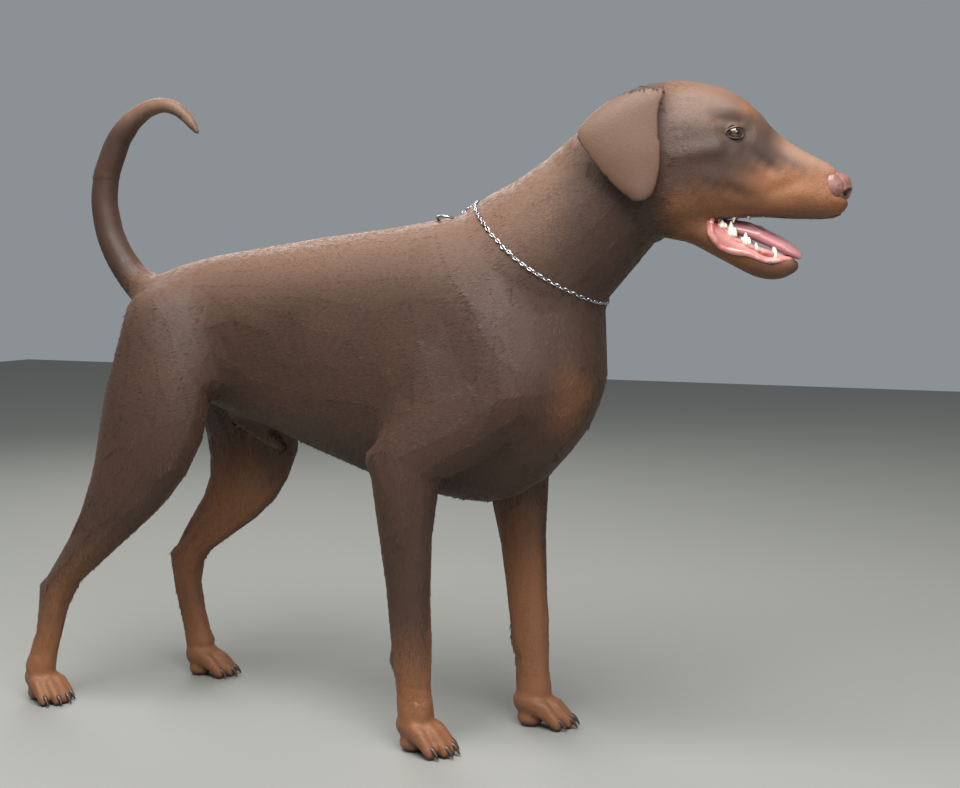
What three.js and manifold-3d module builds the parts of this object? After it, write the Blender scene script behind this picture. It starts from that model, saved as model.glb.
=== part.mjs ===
// A doberman pinscher, standing, life size: chocolate and rust, natural ears and tail, a chain collar.
// Millimetres, +X towards the head, +Y to the animal's left, +Z up. The floor is z = 0.
import * as THREE from "three";
import { mergeVertices } from "three/addons/utils/BufferGeometryUtils.js";
import Module from "manifold-3d";

// Driving dimensions
const WITHERS_HEIGHT = 716; // floor to the top of the shoulder blades
const CHEST_FLOOR = 330; // floor to the breastbone between the forelegs
const CHEST_HALF_WIDTH = 100;
const HEAD_TURN = THREE.MathUtils.degToRad(12); // the head looks a little to the animal's left
const HEAD_ROOT_X = 400; // where the head's own axis starts, on the midline
const EYE_RADIUS = 11.5;
const EAR_CUP = 5; // how far an ear's edges curl towards the head
const CUT_GAP = 0.3; // what neighbouring nodes keep between them
const FACET = 2.2; // how far a facet may stand off the true form
const SOLE_DEPTH = 1.2; // how much of a pad is flat on the floor

const wasm = await Module();
wasm.setup();

// Joins the seam and the caps of a fresh three.js geometry, before anything bends it.
function welded(geometry) {
  geometry.deleteAttribute("normal");
  geometry.deleteAttribute("uv");
  return mergeVertices(geometry, 1e-5);
}

// Makes a manifold solid of a closed three.js geometry, turned right side out.
function solidOf(merged) {
  const triVerts = new Uint32Array(merged.index.array);
  const make = () =>
    new wasm.Manifold(
      new wasm.Mesh({
        numProp: 3,
        vertProperties: new Float32Array(merged.attributes.position.array),
        triVerts,
      }),
    );
  const first = make();
  if (first.volume() > 0) return first;
  for (let i = 0; i < triVerts.length; i += 3)
    [triVerts[i + 1], triVerts[i + 2]] = [triVerts[i + 2], triVerts[i + 1]];
  return make();
}

// Turns a solid back into a three.js geometry.
function geometryOf(solid) {
  const mesh = solid.getMesh();
  const position = new Float32Array(mesh.numVert * 3);
  for (let i = 0; i < mesh.numVert; i++)
    position.set(
      mesh.vertProperties.subarray(i * mesh.numProp, i * mesh.numProp + 3),
      i * 3,
    );
  const geometry = new THREE.BufferGeometry();
  geometry.setAttribute("position", new THREE.BufferAttribute(position, 3));
  geometry.setIndex(new THREE.BufferAttribute(new Uint32Array(mesh.triVerts), 1));
  geometry.computeVertexNormals();
  return geometry;
}

const join = (...solids) => solids.reduce((all, one) => all.add(one));


// A body form: a cylinder drawn along a path of stations. Each station is
// [x, y, z, up, down, half width]: the widest point of the section, its reach to the
// back (or front, on a leg) side, its reach to the other side, and half its width.
// square is 2 for an ellipse and more for a boxier section; bend curls a flat form's
// edges across it; grow makes the same form larger all round.
function form(stations, options = {}) {
  const { around = 20, along = 24, square = 2.1, upright = false, bend = 0, grow = 0, frame = null } = options;
  const curve = (pick) => new THREE.CatmullRomCurve3(stations.map(pick), false, "catmullrom", 0.5);
  const path = curve((s) => new THREE.Vector3(s[0], s[1], s[2]));
  const reach = curve((s) => new THREE.Vector3(s[3], s[4], s[5]));
  const across = new THREE.Vector3(0, 1, 0);
  const shape = welded(new THREE.CylinderGeometry(1, 1, 1, around, along, false));
  const points = shape.attributes.position;
  for (let i = 0; i < points.count; i++) {
    const t = points.getY(i) + 0.5;
    const radius = Math.hypot(points.getX(i), points.getZ(i));
    const angle = Math.atan2(points.getZ(i), points.getX(i));
    const centre = path.getPoint(t);
    const size = reach.getPoint(t).addScalar(grow);
    const ahead = upright ? new THREE.Vector3(1, 0, 0) : path.getTangent(t);
    const up = new THREE.Vector3().crossVectors(ahead, across).normalize();
    const wideShare = radius * Math.sign(Math.cos(angle)) * Math.abs(Math.cos(angle)) ** (2 / square);
    const highShare = radius * Math.sign(Math.sin(angle)) * Math.abs(Math.sin(angle)) ** (2 / square);
    centre.addScaledVector(across, wideShare * size.z + bend * highShare ** 2);
    centre.addScaledVector(up, highShare * (highShare > 0 ? size.x : size.y));
    points.setXYZ(i, centre.x, centre.y, centre.z);
  }
  if (frame) shape.applyMatrix4(frame);
  return solidOf(shape);
}

// An ellipsoid: its centre, its three radii, and its turns about Y and Z in degrees.
function bulge(centre, radii, { pitch = 0, yaw = 0, detail = 14, grow = 0, frame = null } = {}) {
  const shape = welded(new THREE.SphereGeometry(1, detail, Math.round(detail * 0.7)));
  shape.scale(...radii.map((r) => r + grow));
  shape.rotateY(THREE.MathUtils.degToRad(pitch));
  shape.rotateZ(THREE.MathUtils.degToRad(yaw));
  shape.translate(...centre);
  if (frame) shape.applyMatrix4(frame);
  return solidOf(shape);
}

function box(low, high, frame = null) {
  const shape = welded(new THREE.BoxGeometry(high[0] - low[0], high[1] - low[1], high[2] - low[2]));
  shape.translate((low[0] + high[0]) / 2, (low[1] + high[1]) / 2, (low[2] + high[2]) / 2);
  if (frame) shape.applyMatrix4(frame);
  return solidOf(shape);
}

// Each side's numbers: -1 is the animal's right, towards the viewer, and 1 its left.
const SIDES = { right: -1, left: 1 };

// Trunk: stations of top, bottom, widest level and half width, from the rump to the chest.
function trunk() {
  const W = CHEST_HALF_WIDTH;
  const stations = [
    [-384, 592, 572, 582, 10],
    [-372, 618, 540, 580, 36],
    [-340, 636, 500, 570, 56],
    [-296, 650, 470, 565, 70],
    [-243, 664, 446, 560, 76],
    [-190, 672, 430, 555, 0.78 * W],
    [-130, 681, 412, 550, 0.84 * W],
    [-65, 689, 388, 545, 0.9 * W],
    [0, 698, 367, 540, 0.96 * W],
    [70, 705, 345, 530, W],
    [140, WITHERS_HEIGHT, CHEST_FLOOR + 4, 520, 0.98 * W],
    [205, WITHERS_HEIGHT + 2, CHEST_FLOOR, 520, 0.9 * W],
    [262, 706, CHEST_FLOOR + 22, 518, 0.84 * W],
    [312, 672, CHEST_FLOOR + 72, 520, 0.72 * W],
    [344, 630, CHEST_FLOOR + 118, 530, 0.52 * W],
    [360, 596, 492, 540, 0.2 * W],
  ];
  return form(
    stations.map(([x, top, bottom, wide, half]) => [x, 0, wide, top - wide, wide - bottom, half]),
    { around: 26, along: 22, upright: true, square: 2.15 },
  );
}

function neck() {
  return form(NECK_STATIONS, { around: 22, along: 10 });
}
const NECK_STATIONS = [
  [205, 0, 590, 130, 130, 70],
  [262, 0, 648, 118, 114, 78],
  [304, 0, 686, 100, 98, 72],
  [346, 1, 722, 92, 90, 64],
  [384, 2, 757, 90, 84, 59],
  [414, 4, 790, 72, 78, 56],
];

function tail() {
  return form([
    [-330, 0, 596, 36, 36, 34],
    [-362, 0, 610, 28, 28, 28],
    [-397, 0, 639, 23, 23, 23],
    [-428, 0, 686, 21, 21, 21],
    [-441, 0, 734, 20, 20, 20],
    [-440, 0, 770, 19.5, 19.5, 19.5],
    [-430, 0, 806, 18.5, 18.5, 18],
    [-410, 0, 842, 17, 17, 17],
    [-384, 0, 867, 14.5, 14.5, 14.5],
    [-357, 0, 882, 12.5, 12.5, 12.5],
    [-328, 0, 886, 11, 11, 11],
    [-302, 0, 877, 10, 10, 10],
    [-282, 0, 859, 8.5, 8.5, 8],
    [-270, 0, 842, 5, 5, 5],
  ], { around: 10, along: 28 });
}

// Shoulder blade, upper arm and the triceps behind them, joined to the trunk.
// step moves one side's leg forward along the body.
function shoulder(side, step) {
  const y = (v) => side * v;
  const blade = form([
    [128 + step, y(40), 690, 34, 34, 18],
    [176 + step, y(60), 630, 50, 50, 34],
    [228 + step, y(72), 560, 52, 56, 34],
    [262 + step, y(78), 500, 44, 52, 33],
    [262 + step, y(80), 455, 34, 40, 30],
  ], { around: 12, along: 8 });
  const arm = form([
    [276 + step, y(78), 520, 34, 34, 28],
    [236 + step, y(82), 470, 52, 48, 32],
    [180 + step, y(90), 435, 58, 52, 34],
    [124 + step, y(96), 404, 48, 44, 32],
    [100 + step, y(97), 385, 28, 28, 24],
  ], { around: 12, along: 8 });
  const triceps = bulge([146 + step, y(84), 476], [62, 27, 92], { pitch: 32, detail: 12 });
  const elbow = bulge([76 + step, y(99), 396], [17, 15, 20], { pitch: 20, detail: 8 });
  return join(blade, arm, triceps, elbow);
}

// A paw at its own place: a body, four arched toes with claws, and pads that are flat below.
function paw(x, y, turn, size = 1) {
  const place = new THREE.Matrix4()
    .makeTranslation(x, y, -SOLE_DEPTH)
    .multiply(new THREE.Matrix4().makeRotationZ(THREE.MathUtils.degToRad(turn)))
    .multiply(new THREE.Matrix4().makeScale(size, size, size));
  const parts = [
    bulge([-8, 0, 35], [30, 23, 24], { frame: place, pitch: 10, detail: 10 }),
    bulge([-12, 0, 13], [20, 19, 14.5], { frame: place, detail: 8 }),
  ];
  for (const i of [-1.5, -0.5, 0.5, 1.5]) {
    const ahead = Math.abs(i) > 1 ? 10 : 22;
    parts.push(form([
      [-14, i * 9, 36, 10, 18, 7],
      [ahead - 8, i * 12.5, 33, 11, 16, 8.6],
      [ahead + 6, i * 14, 27, 12, 16, 9],
      [ahead + 17, i * 15, 16, 11, 15, 8.8],
      [ahead + 24, i * 15.5, 10, 8, 10, 6.5],
    ], { around: 7, along: 4, upright: true, frame: place }));
    const claw = welded(new THREE.ConeGeometry(3.2, 17, 4));
    claw.rotateZ(-Math.PI / 2 - 0.45);
    claw.translate(ahead + 28, i * 15.8, 10);
    claw.applyMatrix4(place);
    parts.push(solidOf(claw));
  }
  return join(...parts).simplify(0.3);
}

// Sheath under the belly.
function sheath() {
  return form([
    [-214, 0, 436, 16, 16, 14],
    [-180, 0, 418, 16, 17, 14],
    [-146, 0, 398, 14, 15, 12],
    [-124, 0, 386, 8, 9, 8],
  ], { around: 12, along: 8 });
}

const floorCut = () => box([-700, -300, -60], [700, 300, 0]);

// A foreleg from the elbow down: forearm, wrist, pastern and paw.
function foreleg(side, leg) {
  const y = (v) => side * v;
  const limb = form([
    [leg.elbow[0], y(97), 420, 44, 44, 30],
    [leg.elbow[0] + 4, y(leg.elbow[1]), 372, 50, 48, 33],
    [leg.elbow[0] + leg.lean * 0.3, y(leg.elbow[1]), 320, 42, 42, 30],
    [leg.elbow[0] + leg.lean * 0.5, y(leg.elbow[1] - 2), 262, 34, 34, 26],
    [leg.elbow[0] + leg.lean * 0.7, y(leg.elbow[1] - 4), 205, 31, 31, 22.5],
    [leg.elbow[0] + leg.lean * 0.85, y(leg.elbow[1] - 6), 160, 30, 30, 23.5],
    [leg.elbow[0] + leg.lean * 0.93, y(leg.elbow[1] - 7), 130, 28, 29, 22.5],
    [leg.elbow[0] + leg.lean, y(leg.elbow[1] - 8), 94, 25, 25, 20],
    [leg.elbow[0] + leg.lean + 3, y(leg.elbow[1] - 8), 58, 27, 26, 22],
    [leg.elbow[0] + leg.lean + 6, y(leg.elbow[1] - 8), 36, 22, 22, 20],
  ], { around: 14, along: 15 });
  const wristPad = bulge([leg.elbow[0] + leg.lean * 0.93 - 27, y(leg.elbow[1] - 4), 122], [9, 8, 11], { detail: 10 });
  return join(limb, wristPad, paw(leg.elbow[0] + leg.lean + 12, y(leg.elbow[1] - 8), side * leg.toeOut, 1.02));
}

// A hind leg: thigh, second thigh, hock, hind pastern and paw.
function hindleg(side, leg) {
  const y = (v) => side * v;
  const limb = form(leg.stations.map(([x, out, z, f, b, w]) => [x, y(out), z, f, b, w]), { around: 16, along: 20 });
  const [hx, hout, hz] = leg.hock;
  const heel = bulge([hx, y(hout), hz], [13, 11, 19], { pitch: leg.heelPitch, detail: 10 });
  return join(limb, heel, paw(leg.foot[0], y(leg.foot[1]), side * leg.toeOut, 0.96));
}

const FORELEGS = {
  right: { elbow: [114, 95], lean: 11, toeOut: 8, step: 0 },
  left: { elbow: [194, 92], lean: 32, toeOut: 10, step: 30 },
};

const HINDLEGS = {
  right: {
    stations: [
      [-302, 58, 612, 48, 50, 32],
      [-292, 70, 540, 82, 70, 42],
      [-291, 80, 470, 90, 84, 46],
      [-302, 90, 400, 82, 82, 42],
      [-328, 94, 340, 62, 68, 37],
      [-364, 98, 285, 43, 50, 31],
      [-406, 100, 236, 30, 32, 25],
      [-444, 104, 194, 25, 26, 20],
      [-464, 106, 156, 24, 24, 19.5],
      [-473, 108, 118, 21, 22, 18],
      [-484, 110, 76, 21, 21, 18],
      [-492, 112, 44, 24, 24, 20],
    ],
    hock: [-478, 105, 168], heelPitch: -30,
    foot: [-484, 112], toeOut: 14, knee: [-358, 0, 292], kneeNormal: [-0.55, 0, -0.83],
  },
  left: {
    stations: [
      [-288, 58, 612, 48, 50, 32],
      [-264, 70, 540, 82, 76, 42],
      [-246, 80, 470, 86, 90, 46],
      [-238, 90, 400, 78, 88, 42],
      [-252, 94, 340, 68, 72, 36],
      [-280, 97, 292, 50, 52, 30],
      [-322, 98, 248, 34, 36, 24],
      [-360, 99, 208, 27, 28, 20],
      [-376, 100, 168, 27, 25, 19.5],
      [-372, 101, 128, 23, 23, 18],
      [-362, 103, 84, 21, 21, 18],
      [-354, 105, 48, 24, 24, 20],
    ],
    hock: [-393, 99, 186], heelPitch: -12,
    foot: [-342, 105], toeOut: 12, knee: [-276, 0, 298], kneeNormal: [-0.5, 0, -0.86],
  },
};

// The head is drawn about its own axis and turned as one.
const HEAD = new THREE.Matrix4()
  .makeTranslation(HEAD_ROOT_X, 0, 0)
  .multiply(new THREE.Matrix4().makeRotationZ(HEAD_TURN));
const EYE_AT = [127, 38, 813];

function skull(grow = 0) {
  const stations = [
    [-46, 812, 700, 768, 50],
    [-22, 850, 688, 784, 57],
    [18, 878, 684, 788, 64],
    [58, 885, 688, 778, 65],
    [98, 878, 699, 772, 61],
    [130, 866, 707, 764, 52],
    [156, 843, 709, 754, 42],
    [182, 813, 707, 746, 34],
    [212, 793, 705, 742, 31],
    [238, 780, 706, 739, 27.5],
    [256, 764, 713, 738, 18],
    [266, 750, 724, 736, 9],
  ];
  const sections = stations.map(([s, top, bottom, wide, half]) => [s, 0, wide, top - wide, wide - bottom, half]);
  const parts = [form(sections, { around: 22, along: 20, upright: true, square: 2.25, frame: HEAD, grow })];
  for (const side of Object.values(SIDES)) {
    const add = (at, radii, options = {}) =>
      parts.push(bulge([at[0], side * at[1], at[2]], radii, { frame: HEAD, grow, ...options }));
    add([120, 27, 838], [26, 15, 13], { pitch: 26, detail: 10 });
  }
  return join(...parts);
}

// Upper and lower lid: a ball over the eye with an almond opening.
function lids(side) {
  const [s, t, z] = EYE_AT;
  return bulge([s, side * t, z], [EYE_RADIUS + 2.6, EYE_RADIUS + 1.2, EYE_RADIUS + 1.4], { frame: HEAD, detail: 11 });
}
function lidOpening(side) {
  const [s, t, z] = EYE_AT;
  const almond = new THREE.Shape();
  almond.moveTo(-11, -2);
  almond.quadraticCurveTo(-1, 17, 12, -3);
  almond.quadraticCurveTo(2, -15, -11, -2);
  const shape = welded(new THREE.ExtrudeGeometry(almond, { depth: 30, bevelEnabled: false, curveSegments: 6 }));
  shape.rotateX(Math.PI / 2);
  if (side < 0) shape.translate(0, 0, 0);
  else shape.translate(0, 30, 0);
  shape.translate(s, side * t, z);
  shape.applyMatrix4(HEAD);
  return solidOf(shape);
}

function eyeball(side, radius) {
  const [s, t, z] = EYE_AT;
  return bulge([s, side * t, z], [radius, radius, radius], { frame: HEAD, detail: 12 });
}

function nose(grow = 0) {
  return join(
    bulge([256, 0, 745], [15.5, 17.5, 18], { frame: HEAD, grow, pitch: 20, detail: 9 }),
    bulge([257, 0, 753], [13, 16, 12], { frame: HEAD, grow, detail: 10 }),
    bulge([248, -14, 747], [14, 9.5, 14], { frame: HEAD, grow, pitch: 20, detail: 8 }),
    bulge([248, 14, 747], [14, 9.5, 14], { frame: HEAD, grow, pitch: 20, detail: 8 }),
  );
}
function nostril(side) {
  return join(
    bulge([267, side * 10, 740], [9, 4.8, 5], { frame: HEAD, yaw: side * -35, detail: 10 }),
    bulge([259, side * 20, 735], [9, 5, 2.6], { frame: HEAD, yaw: side * 30, pitch: -14, detail: 8 }),
  );
}

// The lower jaw: chin and lip outside, gum above, and the lower teeth standing on the gum.
function lowerJaw(grow = 0) {
  const bone = form([
    [40, 0, 722, 18, 36, 42],
    [80, 0, 706, 14, 28, 38],
    [112, 0, 686, 12, 24, 33],
    [140, 0, 669, 10, 22, 28],
    [165, 0, 656, 10, 21, 24],
    [186, 0, 652, 9, 18, 20],
    [200, 0, 651, 8, 10, 14],
    [207, 0, 652, 4, 4, 6],
  ], { around: 18, along: 16, square: 2.4, frame: HEAD, grow });
  return bone;
}
function lowerTeeth(grow = 0) {
  const parts = [];
  for (const side of Object.values(SIDES)) {
    for (const [s, t, z, height, radius] of LOWER_TEETH) {
      parts.push(tooth(s, side * t, z, height + 4 * grow, radius + grow));
    }
  }
  return parts;
}
// Each lower tooth on one side as [s, t, middle height, height, radius at the gum].
const LOWER_TEETH = [
  [115, 25, 702, 13, 4.5],
  [125, 24, 696, 18, 5.2],
  [143, 22, 684, 15, 4.8],
  [156, 20.5, 675, 10, 3.6],
  [178, 15, 669, 21, 4.4],
  [190, 8.5, 663, 8, 2.4],
  [193, 4.6, 663, 7, 2.2],
];
// Each upper tooth that the open mouth shows, hanging down from the palate.
const UPPER_TEETH = [
  [112, 24, 712, 16, 5],
  [128, 23, 708, 14, 4.6],
  [146, 21, 706, 11, 3.6],
  [222, 15, 710, 14, 4.2],
  [240, 8, 712, 9, 2.4],
  [243, 3, 713, 9, 2.4],
];

// The palate: the hollow under the upper lips.
function mouthHollow() {
  return form([
    [84, 0, 704, 6, 8, 22],
    [104, 0, 702, 13, 12, 26],
    [140, 0, 700, 17, 12, 24],
    [180, 0, 696, 19, 12, 22],
    [225, 0, 696, 19, 12, 19],
    [246, 0, 698, 17, 12, 14],
  ], { around: 12, along: 8, square: 2.6, frame: HEAD });
}

function tongue(grow = 0) {
  return form([
    [82, 0, 701, 5, 6, 15],
    [112, 0, 701, 8, 8, 18],
    [142, 0, 697, 8, 9, 19],
    [160, 0, 690, 7.5, 9, 19],
    [175, 0, 683, 7, 8.5, 18.5],
    [189, 0, 676, 7, 8, 18],
    [201, 0, 669, 6, 7, 16],
    [211, 0, 662, 3, 4, 9],
  ], { around: 12, along: 10, frame: HEAD, grow });
}

// A tooth: a cone with its root sunk in the jaw.
function tooth(s, t, z, height, radius, down = false) {
  const shape = welded(new THREE.ConeGeometry(radius, height, 5));
  shape.rotateX(down ? -Math.PI / 2 : Math.PI / 2);
  shape.translate(s, t, z);
  shape.applyMatrix4(HEAD);
  return solidOf(shape);
}

// An ear: rows from its root over the fold and down to the tip. Each row is the front edge
// and the rear edge as [s, t, z], and half its thickness.
const EAR_ROWS = [
  [[40, 42, 858], [4, 40, 846], 8],
  [[46, 52, 871], [-14, 54, 858], 7],
  [[49, 62, 872], [-34, 66, 850], 4.5],
  [[47, 71, 862], [-54, 75, 830], 3],
  [[41, 75, 843], [-66, 80, 813], 2.6],
  [[40, 77, 820], [-58, 82, 798], 2.4],
  [[43, 78, 796], [-46, 82, 781], 2.4],
  [[43, 77, 772], [-30, 80, 761], 2.3],
  [[38, 76, 753], [-14, 78, 744], 2.2],
  [[32, 75, 738], [0, 76, 734], 2],
  [[24, 75, 729], [8, 75, 728], 1.2],
];
function ear(side, grow = 0) {
  const curve = (pick) => new THREE.CatmullRomCurve3(EAR_ROWS.map(pick), false, "catmullrom", 0.5);
  const front = curve(([f]) => new THREE.Vector3(f[0], side * f[1], f[2]));
  const rear = curve(([, r]) => new THREE.Vector3(r[0], side * r[1], r[2]));
  const thick = curve(([, , half]) => new THREE.Vector3(half, 0, 0));
  const shape = welded(new THREE.CylinderGeometry(1, 1, 1, 14, 16, false));
  const points = shape.attributes.position;
  for (let i = 0; i < points.count; i++) {
    const v = 0.5 - points.getY(i);
    const radius = Math.hypot(points.getX(i), points.getZ(i));
    const angle = Math.atan2(points.getZ(i), points.getX(i));
    const wide = radius * Math.cos(angle);
    const deep = radius * Math.sin(angle);
    const f = front.getPoint(v);
    const r = rear.getPoint(v);
    const middle = f.clone().add(r).multiplyScalar(0.5);
    const half = f.clone().sub(r).multiplyScalar(0.5);
    const down = front.getTangent(v).add(rear.getTangent(v)).normalize();
    const out = new THREE.Vector3().crossVectors(down, half).normalize();
    const hollow = EAR_CUP * (wide * wide - 0.4) * Math.min(1, v * 3);
    middle.addScaledVector(half, wide * (1 + grow / half.length()));
    middle.addScaledVector(out, deep * (thick.getPoint(v).x + grow) * (1 - 0.35 * wide * wide) + side * hollow);
    points.setXYZ(i, middle.x, middle.y, middle.z);
  }
  shape.applyMatrix4(HEAD);
  return solidOf(shape);
}

// The chain: a closed loop laid on the coat in the plane from the nape to the throat.
const COLLAR = { nape: [190, 731], throat: [362, 602], wire: 3.2, sag: 10, steps: 48,
  end: [[186, -9], [172, -14], [154, -17]], ring: 12, ringAt: [143, -19], ringRoll: -0.3, ringPitch: 0.02 };
function collarPath(flesh) {
  const mesh = new THREE.Mesh(geometryOf(flesh), new THREE.MeshBasicMaterial({ side: THREE.DoubleSide }));
  const middle = new THREE.Vector3((COLLAR.nape[0] + COLLAR.throat[0]) / 2, 0, (COLLAR.nape[1] + COLLAR.throat[1]) / 2);
  const towards = new THREE.Vector3(COLLAR.nape[0], 0, COLLAR.nape[1]).sub(middle).normalize();
  const below = new THREE.Vector3().crossVectors(new THREE.Vector3(0, 1, 0), towards).normalize();
  const ray = new THREE.Raycaster();
  const points = [];
  for (let i = 0; i < COLLAR.steps; i++) {
    const angle = (i / COLLAR.steps) * Math.PI * 2;
    const way = towards.clone().multiplyScalar(Math.cos(angle)).add(new THREE.Vector3(0, Math.sin(angle), 0));
    const from = middle.clone().addScaledVector(below, -COLLAR.sag * Math.sin(angle) ** 2);
    ray.set(from, way);
    const hits = ray.intersectObject(mesh);
    points.push(from.addScaledVector(way, hits[hits.length - 1].distance + COLLAR.wire * 0.25));
  }
  return new THREE.CatmullRomCurve3(points, true);
}
// A round cord along a closed or an open path. An open one has domed ends.
function cord(path, radius, segments, closed, around = 5) {
  if (closed) return solidOf(welded(new THREE.TubeGeometry(path, segments, radius, around, true)));
  const stations = [];
  for (let i = 0; i <= segments; i++) {
    const p = path.getPointAt(i / segments);
    stations.push([p.x, p.y, p.z, radius, radius, radius]);
  }
  return form(stations, { around, along: segments });
}

// The free end of the chain: points on the withers, dropped on to the coat from above.
function restingPath(flesh, marks) {
  return new THREE.CatmullRomCurve3(marks.map(([x, y]) => dropped(flesh, x, y, COLLAR.wire * 0.4)), false);
}
function dropped(flesh, x, y, lift) {
  const mesh = new THREE.Mesh(geometryOf(flesh), new THREE.MeshBasicMaterial({ side: THREE.DoubleSide }));
  const ray = new THREE.Raycaster(new THREE.Vector3(x, y, 1200), new THREE.Vector3(0, 0, -1));
  return new THREE.Vector3(x, y, ray.intersectObject(mesh)[0].point.z + lift);
}
function endRing(flesh) {
  const [x, y] = COLLAR.ringAt;
  const at = dropped(flesh, x, y, 1);
  return (grow) => {
    const shape = welded(new THREE.TorusGeometry(COLLAR.ring, COLLAR.wire * 0.7 + grow, 6, 20));
    shape.rotateX(COLLAR.ringRoll);
    shape.rotateY(COLLAR.ringPitch);
    shape.translate(at.x, at.y, at.z);
    return solidOf(shape);
  };
}

// Largest closed piece of a solid.
function largest(solid) {
  return solid.decompose().sort((a, b) => b.volume() - a.volume())[0];
}

// The half space on the far side of a cut: point, normal, and half the gap on each side.
function beyond(point, normal, inset = CUT_GAP / 2) {
  const n = new THREE.Vector3(...normal).normalize();
  const turn = new THREE.Quaternion().setFromUnitVectors(new THREE.Vector3(0, 0, 1), n);
  const frame = new THREE.Matrix4()
    .makeTranslation(...point)
    .multiply(new THREE.Matrix4().makeRotationFromQuaternion(turn));
  return box([-900, -900, inset], [900, 900, 1800], frame);
}
// Whole forms first, then the thin cuts that make the nodes.
const nodes = {};
let body = join(trunk(), neck(), tail(), sheath());
for (const [name, side] of Object.entries(SIDES)) {
  body = join(body, shoulder(side, FORELEGS[name].step), foreleg(side, FORELEGS[name]), hindleg(side, HINDLEGS[name]));
}
body = body.subtract(floorCut()).simplify(FACET).add(skull());

// The chain lies in a groove of its own size round the foot of the neck, and its free end on the withers.
const loop = collarPath(body);
const end = restingPath(body, COLLAR.end);
const chain = { loop: cord(loop, COLLAR.wire, COLLAR.steps, true), end: cord(end, COLLAR.wire, 14, false) };
const ring = endRing(body);
nodes.collar_chain = chain.loop;
nodes.collar_end = chain.end.subtract(cord(loop, COLLAR.wire + CUT_GAP, COLLAR.steps, true)).subtract(ring(CUT_GAP));
nodes.collar_ring = ring(0);
body = body
  .subtract(cord(loop, COLLAR.wire + CUT_GAP, COLLAR.steps, true))
  .subtract(cord(end, COLLAR.wire + CUT_GAP, 14, false))
  .subtract(ring(CUT_GAP));

// Head and neck.
const split = (solid, point, normal) => {
  const away = normal.map((v) => -v);
  return [solid.intersect(beyond(point, away)), solid.intersect(beyond(point, normal))];
};
let [trunkAndNeck, head] = split(body, [393, 0, 790], [0.93, 0, 0.36]);
let [rest, neckPiece] = split(trunkAndNeck, [284, 0, 676], [0.61, 0, 0.79]);
nodes.neck = neckPiece;

// Tail, in three lengths.
const [bodyOnly, tailWhole] = split(rest, [-374, 0, 620], [-0.75, 0, 0.66]);
rest = bodyOnly;
const [tailBase, tailUpper] = split(tailWhole, [-441, 0, 725], [0.05, 0, 1]);
const [tailTip, tailMid] = split(tailUpper, [-391, 0, 861], [-0.85, 0, -0.52]);
nodes.tail_base = tailBase;
nodes.tail_mid = tailMid;
nodes.tail_tip = tailTip;

// Legs: a region of space on each side, then cuts across the leg.
for (const [name, side] of Object.entries(SIDES)) {
  const hindRegion = (inset) =>
    beyond([-170, 0, 434], [-0.455, 0, -0.89], inset)
      .intersect(beyond([0, side * 28, 0], [0, side, 0], inset))
      .intersect(beyond([-120, 0, 0], [-1, 0, 0], inset));
  const hind = rest.intersect(hindRegion(CUT_GAP / 2));
  rest = rest.subtract(hindRegion(-CUT_GAP / 2));
  const leg = HINDLEGS[name];
  const [thigh, lower] = split(hind, leg.knee, leg.kneeNormal);
  const [shank, hindpaw] = split(lower, [0, 0, 60], [0, 0, -1]);
  nodes["thigh_" + name] = thigh;
  nodes["hindleg_" + name] = shank;
  nodes["hindpaw_" + name] = hindpaw.simplify(0.7);
  const fore = FORELEGS[name].elbow[0];
  const foreRegion = (inset) =>
    box([fore - 110, -400, -10], [fore + 140, 400, 384 - inset])
      .intersect(beyond([0, side * 62, 0], [0, side, 0], inset))
      .add(
        box([fore - 110, -400, -10], [fore + 140, 400, CHEST_FLOOR - 4 - inset])
          .intersect(beyond([0, side * 20, 0], [0, side, 0], inset)),
      );
  const foreWhole = rest.intersect(foreRegion(CUT_GAP / 2));
  rest = rest.subtract(foreRegion(-CUT_GAP / 2));
  const [forearm, forepaw] = split(foreWhole, [0, 0, 64], [0, 0, -1]);
  nodes["foreleg_" + name] = forearm;
  nodes["forepaw_" + name] = forepaw.simplify(0.7);
}
nodes.torso = rest;

// Head: jaw, tongue, nose, ears and eyes are taken out of it with the gap round each.
for (const side of Object.values(SIDES)) head = head.add(lids(side));
head = head.subtract(mouthHollow());
for (const side of Object.values(SIDES)) {
  for (const [s, t, z, height, radius] of UPPER_TEETH) head = head.add(tooth(s, side * t, z, height, radius, true));
}
head = head.simplify(0.4).subtract(lowerJaw(CUT_GAP)).subtract(join(...lowerTeeth(CUT_GAP)));
head = head.subtract(tongue(CUT_GAP)).subtract(nose(CUT_GAP));
const jaw = join(lowerJaw(), ...lowerTeeth()).simplify(0.1).subtract(tongue(CUT_GAP));
let noseSolid = nose();
for (const [name, side] of Object.entries(SIDES)) {
  noseSolid = noseSolid.subtract(nostril(side));
  head = head.subtract(lidOpening(side)).subtract(eyeball(side, EYE_RADIUS + CUT_GAP)).subtract(ear(side, CUT_GAP));
  nodes["ear_" + name] = ear(side);
  nodes["eye_" + name] = eyeball(side, EYE_RADIUS);
}
nodes.neck = nodes.neck.subtract(ear(-1, CUT_GAP)).subtract(ear(1, CUT_GAP)).subtract(lowerJaw(CUT_GAP));
nodes.head = head;
nodes.lower_jaw = jaw;
nodes.nose = noseSolid.simplify(0.15);
nodes.tongue = tongue();

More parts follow.
